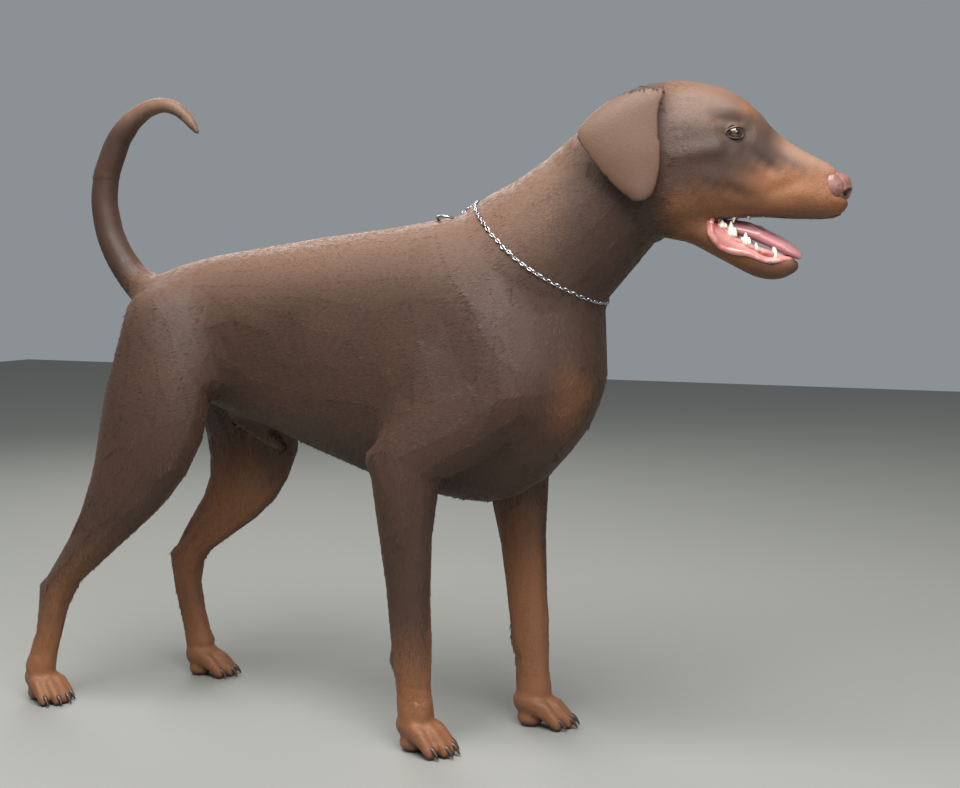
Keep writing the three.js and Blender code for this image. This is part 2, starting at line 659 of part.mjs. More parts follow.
// Colours of the real coat, leather, horn and metal.
const MATERIALS = {
  coat: { color: 0x4e3022, roughness: 0.55, metalness: 0 },
  leather: { color: 0x7a4a42, roughness: 0.5, metalness: 0 },
  flesh: { color: 0xc4716e, roughness: 0.45, metalness: 0 },
  eye: { color: 0x5b3415, roughness: 0.12, metalness: 0 },
  chain: { color: 0xb9bcc0, roughness: 0.25, metalness: 1 },
};
const SLOTS = {
  nose: "leather",
  tongue: "flesh",
  eye_left: "eye",
  eye_right: "eye",
  collar_chain: "chain",
  collar_end: "chain",
  collar_ring: "chain",
};

const group = new THREE.Group();
group.name = "doberman_pinscher";
const low = new THREE.Vector3(Infinity, Infinity, Infinity);
const high = low.clone().negate();
const solids = Object.entries(nodes).map(([name, solid]) => [name, largest(solid)]);
for (const [, solid] of solids) {
  const bounds = solid.boundingBox();
  low.min(new THREE.Vector3(...bounds.min));
  high.max(new THREE.Vector3(...bounds.max));
}
// The origin is the middle of the floor under the animal.
const centring = [-(low.x + high.x) / 2, -(low.y + high.y) / 2, -low.z];
for (const [name, solid] of solids) {
  const mesh = new THREE.Mesh(
    geometryOf(solid.translate(centring)),
    new THREE.MeshStandardMaterial(MATERIALS[SLOTS[name] ?? "coat"]),
  );
  mesh.name = name;
  group.add(mesh);
}
export default group;
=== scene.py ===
"""A doberman pinscher, life size, chocolate and rust, in mid stride: skin, coat, head details and chain."""

import math

import bmesh
import bpy
import numpy as np
from bpy.props import FloatProperty, FloatVectorProperty, IntProperty, PointerProperty
from mathutils import Matrix, Vector
from mathutils.bvhtree import BVHTree


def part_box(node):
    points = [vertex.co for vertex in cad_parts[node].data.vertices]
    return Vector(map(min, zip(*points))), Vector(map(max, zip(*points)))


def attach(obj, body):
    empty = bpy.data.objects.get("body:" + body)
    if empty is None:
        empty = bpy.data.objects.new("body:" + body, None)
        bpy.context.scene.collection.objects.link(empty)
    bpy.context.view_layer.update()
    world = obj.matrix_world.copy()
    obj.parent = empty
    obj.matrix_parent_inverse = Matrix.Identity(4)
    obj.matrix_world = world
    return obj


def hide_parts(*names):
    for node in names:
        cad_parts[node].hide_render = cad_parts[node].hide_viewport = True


bl_info = {
    "name": "Doberman pinscher",
    "version": (1, 0, 0),
    "blender": (4, 5, 0),
    "location": "View3D > Sidebar > Dog",
    "description": "Skin, coat, eyes, mouth, claws and slip chain of a standing dog",
    "category": "Object",
}

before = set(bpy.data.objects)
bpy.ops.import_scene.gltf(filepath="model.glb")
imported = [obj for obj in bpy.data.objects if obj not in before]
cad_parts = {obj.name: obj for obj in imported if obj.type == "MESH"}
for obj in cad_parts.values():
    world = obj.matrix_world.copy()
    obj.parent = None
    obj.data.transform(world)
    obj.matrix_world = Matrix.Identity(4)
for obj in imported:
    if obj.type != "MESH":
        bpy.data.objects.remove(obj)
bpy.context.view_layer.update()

# The head's own axis: s runs forwards from the root, t to the animal's left, z up, in millimetres
HEAD_TURN = math.radians(12)
HEAD_ROOT_X = 400
EYE_SEAT = (127, 38, 813)
SIDES = {"right": -1, "left": 1}


def head_to_body(s, t, z):
    """A head point in the body's millimetres."""
    cos, sin = math.cos(HEAD_TURN), math.sin(HEAD_TURN)
    return np.array([HEAD_ROOT_X + s * cos - t * sin, s * sin + t * cos, z], float)


def frame_shift():
    """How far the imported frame's origin lies from the body's own, read from the right eye's node."""
    low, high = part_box("eye_right")
    seat = head_to_body(EYE_SEAT[0], -EYE_SEAT[1], EYE_SEAT[2]) / 1000
    return np.array((low + high) / 2) - seat


SHIFT = frame_shift()


def at(x, y, z):
    """A body point in millimetres as a place in the frame, in metres."""
    return np.array([x, y, z], float) / 1000 + SHIFT


def on_head(s, t, z):
    """A head point in millimetres as a place in the frame, in metres."""
    return head_to_body(s, t, z) / 1000 + SHIFT


def head_direction(s, t, z):
    """A direction on the head's axes as a unit direction in the frame."""
    cos, sin = math.cos(HEAD_TURN), math.sin(HEAD_TURN)
    way = np.array([s * cos - t * sin, s * sin + t * cos, z], float)
    return way / np.linalg.norm(way)


def to_body(points):
    """Places in the frame as body millimetres."""
    return (points - SHIFT) * 1000


def to_head(points):
    """Places in the frame as head millimetres."""
    p = (points - SHIFT) * 1000 - np.array([HEAD_ROOT_X, 0, 0])
    cos, sin = math.cos(HEAD_TURN), math.sin(HEAD_TURN)
    return np.stack([p[:, 0] * cos + p[:, 1] * sin, -p[:, 0] * sin + p[:, 1] * cos, p[:, 2]], 1)


def on_heads(points):
    """Head millimetres, row by row, as places in the frame."""
    return np.array(head_to_body(*points.T)).T / 1000 + SHIFT


def colour_setting(name, description, colour):
    """A colour of the panel, as sRGB shares."""
    kind = dict(subtype="COLOR_GAMMA", size=3)
    return FloatVectorProperty(name=name, description=description, default=colour, **kind)


class CoatSettings(bpy.types.PropertyGroup):
    """Colours and sizes of skin and coat."""

    chocolate: colour_setting("Chocolate", "Main coat", (0.238, 0.161, 0.115))
    # Colour of the painted shade in folds and under the body and ears, and of the pads' and lids' own dark
    dark: colour_setting("Dark", "Folds and shaded hair", (0.2, 0.135, 0.105))
    rust: colour_setting("Rust", "Points on face, chest and legs", (0.53, 0.345, 0.22))
    voxel: FloatProperty(name="Skin cell", description="Remesh size", unit="LENGTH", default=0.0025)
    hair: FloatProperty(name="Hair length", description="Short coat", unit="LENGTH", default=0.0092)
    tufts: IntProperty(name="Tufts", description="Short tufts over the body", default=46000)


class DetailSettings(bpy.types.PropertyGroup):
    """Colours of nose and tongue, and sizes of the chain's links."""

    nose: colour_setting("Nose", "Liver leather", (0.5, 0.35, 0.315))
    tongue: colour_setting("Tongue", "Moist pink", (0.68, 0.46, 0.47))
    link: FloatProperty(name="Link length", description="Chain link, outside", unit="LENGTH", default=0.0085)
    wire: FloatProperty(name="Link wire", description="Wire radius", unit="LENGTH", default=0.00105)


def linear(colour):
    """An sRGB colour, as three shares or a hex text, in linear light with alpha."""
    if isinstance(colour, str):
        colour = [int(colour[i:i + 2], 16) / 255 for i in (1, 3, 5)]
    return [c / 12.92 if c <= 0.04045 else ((c + 0.055) / 1.055) ** 2.4 for c in colour] + [1.0]


def node(tree, kind, links=None, **settings):
    """Adds one node: settings are its properties, links its inputs by name or number."""
    made = tree.nodes.new(kind)
    for key, value in settings.items():
        setattr(made, key, value)
    for key, value in (links or {}).items():
        socket = made.inputs[key]
        if isinstance(value, bpy.types.NodeSocket):
            tree.links.new(value, socket)
        else:
            socket.default_value = value
    return made


def new_material(name, roughness=0.5, metallic=0.0, **sockets):
    """A material with its main shader and output, returned with its tree and shader."""
    material = bpy.data.materials.new(name)
    material.use_nodes = True
    tree = material.node_tree
    tree.nodes.clear()
    shader = node(tree, "ShaderNodeBsdfPrincipled", {"Roughness": roughness, "Metallic": metallic})
    for key, value in sockets.items():
        shader.inputs[key.replace("_", " ")].default_value = value
    node(tree, "ShaderNodeOutputMaterial", {"Surface": shader.outputs[0]})
    return material, tree, shader


# Sizes of the coat's patterns, per metre, and how the hairs' one is stretched along the coat
HAIR_NOISE = 420
PATCH_NOISE = 9
HAIR_STRETCH = (1, 2.6, 1.8)


def layered(tree, colour, layers):
    """Colours over one another: a layer is a share and colour, or a value, low, high, most and colour."""
    colour = linear(colour) if isinstance(colour, str) else colour
    for source, *reading, over in layers:
        if reading:
            low, high, most = reading
            source = node(tree, "ShaderNodeMapRange", {0: source, 1: low, 2: high, 4: most}).outputs[0]
        links = {0: source, 6: colour, 7: linear(over) if isinstance(over, str) else over}
        colour = node(tree, "ShaderNodeMix", links, data_type="RGBA").outputs[2]
    return colour


def patterned(name, base, scale, detail, layers, **sockets):
    """A material with layers of one noise over its base; gives its tree, shader, place and noise too."""
    material, tree, shader = new_material(name, **sockets)
    place = node(tree, "ShaderNodeTexCoord").outputs["Object"]
    noise = node(tree, "ShaderNodeTexNoise", {"Vector": place, "Scale": scale, "Detail": detail}).outputs[0]
    colour = layered(tree, base, [(noise, *layer) for layer in layers])
    tree.links.new(colour, shader.inputs["Base Color"])
    return material, tree, shader, place, noise


def coat_material(settings, name, depth=1.0):
    """Short close hair, lying flat: chocolate with rust points, painted shade in folds and under the body,
    painted highlights along the top and a soft sheen.
    """
    sheen = dict(Sheen_Weight=0.12, Sheen_Roughness=0.45, Sheen_Tint=linear("#b79a86"))
    material, tree, shader = new_material(name, Specular_IOR_Level=0.4, **sheen)
    share = {
        layer: node(tree, "ShaderNodeAttribute", attribute_name=layer).outputs["Fac"]
        for layer in ("rust", "dark", "painted_highlight_and_pale", "pink")
    }
    place = node(tree, "ShaderNodeTexCoord").outputs["Object"]
    lie = node(tree, "ShaderNodeMapping", {"Vector": place, "Scale": HAIR_STRETCH}).outputs[0]
    fine = {"Vector": lie, "Scale": HAIR_NOISE, "Detail": 3, "Roughness": 0.7}
    hairs = node(tree, "ShaderNodeTexNoise", fine).outputs[0]
    wide = {"Vector": place, "Scale": PATCH_NOISE, "Detail": 3}
    patches = node(tree, "ShaderNodeTexNoise", wide).outputs[0]
    brown = [(patches, 0.35, 0.7, 0.6, "#4d3427"), (hairs, 0.4, 0.75, 0.6, "#24160f")]
    tan = [(patches, 0.35, 0.7, 0.5, "#8a552c"), (hairs, 0.4, 0.75, 0.6, "#4f2f1a")]
    colour = layered(tree, layered(tree, linear(settings.chocolate), brown), [
        # Painted highlight where the light from above falls, and the paler ears
        (share["painted_highlight_and_pale"], "#8f6d58"),
        (share["rust"], layered(tree, linear(settings.rust), tan)),
        # Painted shade in folds, over the eyes, under the ears and belly, with the dark pads and lids' edges
        (share["dark"], linear(settings.dark)),
        (share["pink"], layered(tree, "#a5605a", [(patches, 0.3, 0.7, 0.8, "#cf958d")])),
    ])
    tree.links.new(colour, shader.inputs["Base Color"])
    gloss = 0.16 * (1 - depth)
    reading = {0: hairs, 1: 0.3, 2: 0.7, 3: 0.44 + gloss, 4: 0.64 + gloss}
    rough = node(tree, "ShaderNodeMapRange", reading).outputs[0]
    wet = node(tree, "ShaderNodeMix", {0: share["pink"], 2: rough, 3: 0.28}, data_type="FLOAT").outputs[0]
    tree.links.new(wet, shader.inputs["Roughness"])
    bump = {"Height": hairs, "Strength": 0.45 * depth, "Distance": 0.0012}
    tree.links.new(node(tree, "ShaderNodeBump", bump).outputs[0], shader.inputs["Normal"])
    return material


def strokes_along(points, a, b):
    """Distance of each point from the segment from a to b."""
    way = b - a
    share = np.clip(((points - a) @ way) / max(way @ way, 1e-9), 0, 1)
    return np.linalg.norm(points - a - share[:, None] * way, axis=1)


class Clay:
    """A mesh held as arrays, for moves that shape it as a sculptor's strokes do."""

    def __init__(self, mesh):
        self.mesh = mesh
        count = len(mesh.vertices)
        self.co = np.empty(count * 3)
        mesh.vertices.foreach_get("co", self.co)
        self.co = self.co.reshape(-1, 3)
        edges = np.empty(len(mesh.edges) * 2, int)
        mesh.edges.foreach_get("vertices", edges)
        self.edges = edges.reshape(-1, 2)
        self.degree = np.bincount(self.edges.ravel(), minlength=count).clip(1)

    def average(self, values):
        """Each vertex's mean over its neighbours."""
        a, b = self.edges.T
        count = len(values)
        total = [np.bincount(a, column[b], count) + np.bincount(b, column[a], count) for column in values.T]
        return np.stack(total, 1) / self.degree[:, None]

    def relax(self, rounds, amount, give_back=True):
        """Smooths by that amount at each vertex; giving back the smoothed loss keeps the volume."""
        amount = np.broadcast_to(amount, len(self.co))[:, None]
        before = self.co.copy()
        for _ in range(rounds):
            self.co += amount * (self.average(self.co) - self.co)
        if give_back:
            lost = before - self.co
            for _ in range(rounds):
                lost += amount * (self.average(lost) - lost)
            self.co += lost

    def normals(self):
        """Unit normals of the mesh with its present places."""
        self.put()
        out = np.empty(len(self.co) * 3)
        self.mesh.vertices.foreach_get("normal", out)
        return out.reshape(-1, 3)

    def put(self):
        """Writes the places back to the mesh."""
        self.mesh.vertices.foreach_set("co", self.co.ravel())
        self.mesh.update()

    def press(self, strokes):
        """Raises or lowers the surface near each stroke: (a, b, radius, height) in millimetres."""
        normals = self.normals()
        points = to_body(self.co)
        lift = np.zeros(len(points))
        for a, b, radius, height in strokes:
            near = strokes_along(points, np.array(a, float), np.array(b, float)) / radius
            lift += height * np.exp(-near ** 2 * 1.6) * (near < 2.2)
        self.co += normals * lift[:, None] / 1000


# How far flesh nodes are swollen before the remesh, so that the cuts between them close
SWELL = 0.0005

# What the wide smoothing of shoulder and haunch takes off them, given back after it
LOST_BY_FLOW = 0.002

# The skin's triangles in the end
SKIN_TRIANGLES = 186000

# How far the skin sits inside the true outline, which the coat's tips reach
COAT_DEPTH = 0.0008

FLESH = [
    "torso", "neck", "head", "lower_jaw", "ear_left", "ear_right", "tail_base", "tail_mid", "tail_tip",
    "foreleg_left", "foreleg_right", "forepaw_left", "forepaw_right", "thigh_left", "thigh_right",
    "hindleg_left", "hindleg_right", "hindpaw_left", "hindpaw_right",
]


def smooth_faces(mesh):
    """Has all faces of a mesh shaded smoothly."""
    mesh.polygons.foreach_set("use_smooth", np.ones(len(mesh.polygons), bool))


def object_from(bm, name, material=None, smooth=True):
    """A bmesh as an object of the scene."""
    mesh = bpy.data.meshes.new(name)
    bm.to_mesh(mesh)
    bm.free()
    if smooth:
        smooth_faces(mesh)
    if material:
        mesh.materials.append(material)
    piece = bpy.data.objects.new(name, mesh)
    bpy.context.scene.collection.objects.link(piece)
    return piece


def flesh_copy(names, swell, cell):
    """Nodes' solids, each swollen a little, ears twice that, as the largest part of one remeshed mesh."""
    whole = bmesh.new()
    for name in names:
        one = bmesh.new()
        one.from_mesh(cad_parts[name].data)
        bmesh.ops.remove_doubles(one, verts=one.verts, dist=2e-6)
        one.normal_update()
        for v in one.verts:
            v.co += v.normal * (swell * (2 if name.startswith("ear") else 1))
        mesh = bpy.data.meshes.new("one")
        one.to_mesh(mesh)
        one.free()
        whole.from_mesh(mesh)
        bpy.data.meshes.remove(mesh)
    piece = object_from(whole, "skin")
    remesh = piece.modifiers.new("remesh", "REMESH")
    remesh.mode = "VOXEL"
    remesh.voxel_size = cell
    apply_modifiers(piece)
    largest_part(piece.data)
    return piece


def apply_modifiers(piece):
    """Replaces a piece's mesh by what its modifiers make of it, with smooth faces."""
    graph = bpy.context.evaluated_depsgraph_get()
    mesh = bpy.data.meshes.new_from_object(piece.evaluated_get(graph))
    smooth_faces(mesh)
    old = piece.data
    piece.modifiers.clear()
    piece.data = mesh
    bpy.data.meshes.remove(old)


def largest_part(mesh):
    """Drops all but the largest connected surface."""
    bm = bmesh.new()
    bm.from_mesh(mesh)
    seen = set()
    parts = []
    for start in bm.verts:
        if start.index in seen:
            continue
        stack, part = [start], []
        seen.add(start.index)
        while stack:
            v = stack.pop()
            part.append(v)
            for edge in v.link_edges:
                other = edge.other_vert(v)
                if other.index not in seen:
                    seen.add(other.index)
                    stack.append(other)
        parts.append(part)
    parts.sort(key=len, reverse=True)
    for part in parts[1:]:
        bmesh.ops.delete(bm, geom=part, context="VERTS")
    bm.to_mesh(mesh)
    bm.free()


def soft_step(value, low, high):
    """0 below low, 1 above high, with a smooth way between."""
    share = np.clip((value - low) / (high - low), 0, 1)
    return share * share * (3 - 2 * share)


# Where the legs differ: how far a shoulder is forward, a foreleg's place and lean, a hind leg's places
FORE_STEP = {"right": 0, "left": 30}
FORE_LEG = {"right": (114, 11), "left": (194, 32)}
HIND = {
    "right": dict(hock=(-478, 168), knee=(-240, 350), tendon=((-402, 268), (-462, 200)), foot=(-484, 112)),
    "left": dict(hock=(-393, 186), knee=(-190, 350), tendon=((-322, 268), (-380, 212)), foot=(-342, 105)),
}


def body_strokes():
    """Muscles, tendons and hollows of trunk, neck and legs."""
    marks = [
        ((80, 0, 712), (-250, 0, 668), 14, -1.5),
        ((352, 0, 560), (330, 0, 440), 10, -3),
        ((300, 0, 400), (180, 0, 332), 12, -2),
    ]
    for side, s in SIDES.items():
        d = FORE_STEP[side]
        marks += [
            ((140 + d, s * 96, 610), (150 + d, s * 104, 530), 44, 9),
            ((215 + d, s * 88, 610), (235 + d, s * 96, 560), 34, 4),
            ((92 + d, s * 100, 560), (66 + d, s * 104, 440), 30, -5),
            ((165 + d, s * 104, 505), (118 + d, s * 112, 432), 34, 4),
            ((84 + d, s * 112, 402), (78 + d, s * 108, 388), 14, 3.5),
            ((292 + d, s * 88, 560), (272 + d, s * 100, 440), 20, -5),
            ((250 + d, s * 104, 425), (190 + d, s * 112, 392), 16, -3),
            ((240 + d, s * 104, 500), (232 + d, s * 108, 440), 34, 4),
            ((-150, s * 82, 540), (-192, s * 84, 470), 38, -5),
            ((-300, s * 92, 575), (-330, s * 108, 500), 48, 3),
            ((335, s * 34, 520), (322, s * 40, 470), 26, 4),
        ]
        # Hollows between the ribs
        for x in range(66, -87, -38):
            marks.append(((x, s * 94, 610), (x - 46, s * 90, 440), 9, -0.9))
        x, lean = FORE_LEG[side]
        marks += [
            ((x + 8, s * 124, 368), (x + 6, s * 120, 300), 20, 2.5),
            ((x - 12, s * 124, 330), (x - 4, s * 112, 215), 8, -1.6),
            ((x + 24, s * 116, 280), (x + lean + 10, s * 106, 190), 8, -1.2),
            ((x + lean + 20, s * 90, 160), (x + lean + 22, s * 88, 146), 16, 1.6),
            ((x + lean - 20, s * 104, 128), (x + lean - 14, s * 102, 80), 8, -1.4),
        ]
        leg = HIND[side]
        (ax, az), (bx, bz) = leg["tendon"]
        hx, hz = leg["hock"]
        marks += [
            ((ax, s * 126, az), (bx, s * 122, bz), 12, -4.5),
            ((ax, s * 76, az), (bx, s * 84, bz), 12, -4),
            ((hx - 6, s * 105, hz + 4), (hx - 2, s * 106, hz - 14), 13, 2.5),
            ((hx + 14, s * 122, hz - 20), (leg["foot"][0] + 2, s * (leg["foot"][1] + 14), 70), 8, -1.5),
            ((leg["knee"][0] - 20, s * 122, 350), (leg["knee"][0] - 4, s * 112, 372), 22, 2.5),
            ((leg["knee"][0] - 96, s * 126, 520), (leg["knee"][0] - 100, s * 130, 400), 15, -2.8),
        ]
    return marks


def head_strokes():
    """Bones and folds of the face, on the head's own axis."""
    marks = [
        ((66, 0, 888), (150, 0, 850), 12, -3),
        ((-30, 0, 850), (20, 0, 880), 12, 2.5),
        ((170, 0, 830), (235, 0, 786), 9, -1.2),
    ]
    for s in SIDES.values():
        marks += [
            ((100, s * 36, 848), (140, s * 30, 838), 13, 3.4),
            ((108, s * 49, 829), (136, s * 42, 827), 7, -2.2),
            ((56, s * 66, 784), (108, s * 56, 794), 14, 3),
            ((62, s * 52, 846), (100, s * 46, 848), 18, -2.5),
            ((44, s * 62, 738), (60, s * 58, 716), 24, 3),
            ((144, s * 40, 792), (172, s * 34, 770), 13, -3),
            ((212, s * 32, 738), (244, s * 26, 732), 16, 2.2),
            ((118, s * 54, 742), (150, s * 44, 734), 9, -1.6),
            ((176, s * 36, 742), (204, s * 33, 752), 10, -1.4),
        ]
    return [(tuple(head_to_body(*a)), tuple(head_to_body(*b)), r, h) for a, b, r, h in marks]


def inner_side(y, side, middle):
    """From -1 on a leg's outer side to 1 on its inner side."""
    return np.clip((middle - side * y) / 24, -1, 1)


def markings(points):
    """Shares of rust, of dark colour with painted shade, and of paler colour with painted highlight at places
    on the animal, from its own measures.
    """
    body = to_body(points)
    head = to_head(points)
    x, y, z = body.T
    s, t, h = head.T
    side = np.sign(y)
    wave = 6 * np.sin(x * 0.11 + 1.3) + 5 * np.sin(z * 0.13 + y * 0.07) + 4 * np.sin(x * 0.23 - z * 0.19)
    ripple = 3 * np.sin(s * 0.21 + h * 0.17) + 2.4 * np.sin(s * 0.37 - h * 0.29 + t * 0.1)
    on_head = soft_step(s + (h - 760) * 0.35, -20, 10) * (z > 600)
    rust = np.zeros(len(x))
    # Forelegs: rust from the wrist down outside, higher on the inside and behind
    fore = (x > 20) & (z < 400)
    for sgn in SIDES.values():
        mine = fore & (side == sgn)
        inner = soft_step(inner_side(y, sgn, 92), -0.15, 0.7)
        edge = 135 + 165 * inner + wave
        rust = np.where(mine, 0.82 * (1 - soft_step(z, edge - 60, edge + 60)), rust)
    # Hind legs: rust behind and inside the shank, and all the foot
    rear = (x < -120) & (z < 470)
    for name, sgn in SIDES.items():
        hx, hz = HIND[name]["hock"]
        mine = rear & (side == sgn)
        inner = soft_step(inner_side(y, sgn, 98), -0.1, 0.7)
        low = 0.82 * (1 - soft_step(z, 70 + wave, 210 + wave))
        within = 0.8 * inner * (1 - soft_step(z, 260 + wave, 430 + wave))
        front = soft_step(x - (hx + (z - hz) * 0.95), -6, 30)
        front = front * (1 - soft_step(z, 150 + wave, 300 + wave)) * 0.5
        rust = np.where(mine, np.maximum(np.maximum(low, within), front), rust)
    # Two patches on the front of the chest and one under the tail
    for sgn in SIDES.values():
        far = np.sqrt(((x - 322) / 46) ** 2 + ((y - sgn * 42) / 26) ** 2 + ((z - 478 - wave) / 34) ** 2)
        rust = np.maximum(rust, 0.5 * (1 - soft_step(far, 0.5, 1.4)))
    vent = np.sqrt(((x + 386) / 26) ** 2 + (y / 24) ** 2 + ((z - 562) / 34) ** 2)
    rust = np.maximum(rust, 0.8 * (1 - soft_step(vent, 0.6, 1.3)))
    # Head: sides of the muzzle, cheeks, chin, throat and a spot over each eye
    flat = np.abs(t)
    side_muzzle = 1 - soft_step(h - (776 - (s - 150) * 0.1) - ripple, -16, 16)
    side_muzzle *= soft_step(s, 110, 178) * soft_step(flat, 3, 14)
    cheek = (1 - soft_step(h, 722 + ripple, 764 + ripple)) * soft_step(s, 22, 74) * 0.75
    cheek_spot = np.sqrt(((s - 58) / 15) ** 2 + ((h - 722) / 13) ** 2)
    spot = np.sqrt(((s - 140) / 17) ** 2 + ((flat - 27) / 13) ** 2 + ((h - 842) / 12) ** 2)
    face = np.maximum(side_muzzle, cheek)
    face = np.maximum(face, 0.6 * (1 - soft_step(spot, 0.3, 1.4)))
    face = np.maximum(face, 1 - soft_step(cheek_spot, 0.3, 1.3))
    lip = np.hypot((s - 205) / 60, (h - 712) / 14)
    face *= 1 - 0.45 * (1 - soft_step(lip, 0.4, 1.2)) * (flat > 12)
    rust = np.where(on_head > 0.5, face, rust)
    # Painted shade in the folds, over the eyes, on the throat under the ears and under the belly; the
    # grey-brown below the eye, the bare pads and the lids' edges
    dark = np.zeros(len(x))
    below_eye = np.hypot((s - 136) / 52, (h - 783 + (s - 136) * 0.18) / 21)
    dark = np.maximum(dark, 0.6 * (1 - soft_step(below_eye, 0.45, 1.25)) * (flat > 14) * on_head)
    # Painted shade in the fold above each eye, under the brow
    brow_shade = np.hypot((s - 112) / 24, (h - 838) / 8)
    dark = np.maximum(dark, 0.45 * (1 - soft_step(brow_shade, 0.4, 1.3)) * (flat > 20) * on_head)
    # Painted shadow of the ears on the throat and upper neck
    ear_shadow = (1 - soft_step(np.hypot((s - 20) / 46, (h - 722) / 62), 0.5, 1.2)) * (x > 330)
    dark = np.maximum(dark, 0.65 * ear_shadow * (np.abs(t) < 70))
    # Painted shade on the underside of the trunk
    belly_shade = (1 - soft_step(z, 360, 440)) * (x > -200) * (x < 300) * (np.abs(y) < 84) * (z > 320)
    dark = np.maximum(dark, 0.45 * belly_shade)
    # Painted shade along the fold on each side of the neck
    fold = strokes_along(np.abs(body), np.array([225.0, 50, 697]), np.array([322.0, 64, 615]))
    dark = np.maximum(dark, 0.6 * (1 - soft_step(fold, 4, 20)) * (x > 200) * (z > 590))
    dark = np.maximum(dark, 0.3 * fore * (z > 170) * (1 - rust))
    chin = soft_step(s, 130, 170) * (1 - soft_step(h, 650, 664))
    dark = dark * (1 - 0.6 * rust)
    dark = np.maximum(dark, 0.55 * chin * on_head)
    for name, sgn in SIDES.items():
        ex, lean = FORE_LEG[name]
        pad = np.sqrt((x - ex - lean * 0.93 + 30) ** 2 + (y - sgn * 92) ** 2 + (z - 120) ** 2)
        dark = np.maximum(dark, 1 - soft_step(pad, 7, 12))
    dark = np.maximum(dark, 1 - soft_step(z, 3, 7))
    dark = np.maximum(dark, 0.9 * (1 - soft_step(lid_distance(points), 1.0, 1.25)))
    # Painted highlight along the back, on the tail's tip, skull and bridge of the nose, where the light from
    # above falls; all the ears paler
    painted_highlight_and_pale = soft_step(z - 0.12 * x, 590, 700) * (1 - soft_step(x, 300, 360)) * soft_step(x, -400, -340) * 0.42
    # Painted shade on the front of the chest and throat below the head
    front = soft_step(x, 318, 350) * (z > 560) * (1 - soft_step(z, 690, 730)) * (1 - on_head)
    dark = np.maximum(dark, 0.35 * front)
    # Painted highlight on the tail's tip
    painted_highlight_and_pale = np.maximum(painted_highlight_and_pale, 0.5 * soft_step(z, 840, 890) * (x < -200))
    # Painted highlight on the skull and the bridge of the nose
    skull = soft_step(h, 800, 870) * soft_step(s, 20, 60) * (1 - soft_step(s, 160, 200))
    bridge = soft_step(h, 770 - (s - 200) * 0.5, 792 - (s - 200) * 0.5) * soft_step(s, 165, 200)
    painted_highlight_and_pale = np.maximum(painted_highlight_and_pale, on_head * np.maximum(0.45 * skull, 0.8 * bridge))
    # The ears paler all over
    ears = (flat > 68.5) & (s > -80) & (s < 55) & (h > 722)
    painted_highlight_and_pale = np.where(ears, 0.38, painted_highlight_and_pale)
    rust = np.where(ears, 0, rust)
    dark = np.where(ears, 0.1, dark)
    return {name: np.clip(share, 0, 1) for name, share in (("rust", rust), ("dark", dark), ("painted_highlight_and_pale", painted_highlight_and_pale))}


# The lower lip's outer edge, as places along the head and heights
LIP_ALONG = [60, 97, 98, 102, 108, 115, 131, 147, 150, 158, 168, 186, 198, 206, 214]
LIP_HEIGHT = [712, 708, 693, 683, 674, 669, 664, 663, 660, 655, 652, 654, 657, 657, 655]


def mouth_share(points):
    """1 inside the mouth and on the turned-out lower lips, 0 outside."""
    s, t, h = to_head(points).T
    edge = np.interp(s, LIP_ALONG, LIP_HEIGHT)
    inside = np.abs(t) < np.interp(s, [60, 110, 150, 200, 250], [18, 25, 22, 17, 11])
    upper = inside * soft_step(s, 80, 86) * (1 - soft_step(s, 240, 248)) * (1 - soft_step(h, 722, 727))
    upper *= soft_step(h, edge - 1, edge + 1)
    lower = soft_step(s, 95, 98) * soft_step(h, edge - 1, edge + 1) * (1 - soft_step(h, 704, 707))
    lower *= 1 - soft_step(s, 215, 220)
    rhinarium = 0.18 * soft_step(s, 226, 246) * soft_step(h, 726, 744)
    return np.clip(upper + lower + rhinarium, 0, 1)


def write_layers(mesh, layers):
    """Stores arrays on a mesh as point attributes."""
    for name, values in layers.items():
        layer = mesh.attributes.new(name, "FLOAT", "POINT")
        layer.data.foreach_set("value", values.astype(np.float32))


class DOG_OT_skin(bpy.types.Operator):
    """One skin over all the flesh, remeshed, smoothed and modelled with muscles and facial folds"""

    bl_idname = "dog.skin"
    bl_label = "Skin"

    def execute(self, context):
        coat = context.scene.dog_coat
        piece = flesh_copy(FLESH, SWELL, coat.voxel)
        clay = Clay(piece.data)
        body = to_body(clay.co)
        head = to_head(clay.co)
        fine = fine_share(body, head)
        clay.relax(110, 0.55 * (1 - 0.9 * fine))
        clay.press(body_strokes())
        flowing = np.maximum(shoulder_share(body), haunch_share(body))
        clay.relax(260, 0.6 * flowing, give_back=False)
        clay.co += clay.normals() * (LOST_BY_FLOW * flowing)[:, None]
        clay.press(head_strokes())
        clay.relax(6, 0.5)
        clay.co -= clay.normals() * (COAT_DEPTH * (1 - fine))[:, None]
        clay.put()
        refine_face(piece)
        clay = Clay(piece.data)
        clay.relax(4, 0.5 * face_area(clay.co))
        seat_eyes(clay)
        clay.put()
        thin_out(piece, SKIN_TRIANGLES)
        mesh = piece.data
        places = Clay(mesh).co
        write_layers(mesh, markings(places) | {"pink": mouth_share(places)})
        mesh.materials.append(coat_material(coat, "Short coat, chocolate and rust"))
        piece.name = "skin"
        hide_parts(*FLESH)
        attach(piece, "root")
        return {"FINISHED"}


def shoulder_share(body):
    """1 over shoulder, upper arm and the root of the neck, where the forms run into one another."""
    x, y, z = body.T
    along = soft_step(x, 40, 100) * (1 - soft_step(x, 330, 370))
    high = soft_step(z, 405, 470) * (1 - soft_step(z, 700, 760))
    return along * high * (np.abs(y) > 12)


def haunch_share(body):
    """1 where thigh, loin and tail root run into one another."""
    x, y, z = body.T
    along = soft_step(x, -400, -360) * (1 - soft_step(x, -220, -150))
    high = soft_step(z, 440, 500) * (1 - soft_step(z, 640, 690))
    return along * high * (np.abs(y) > 12)


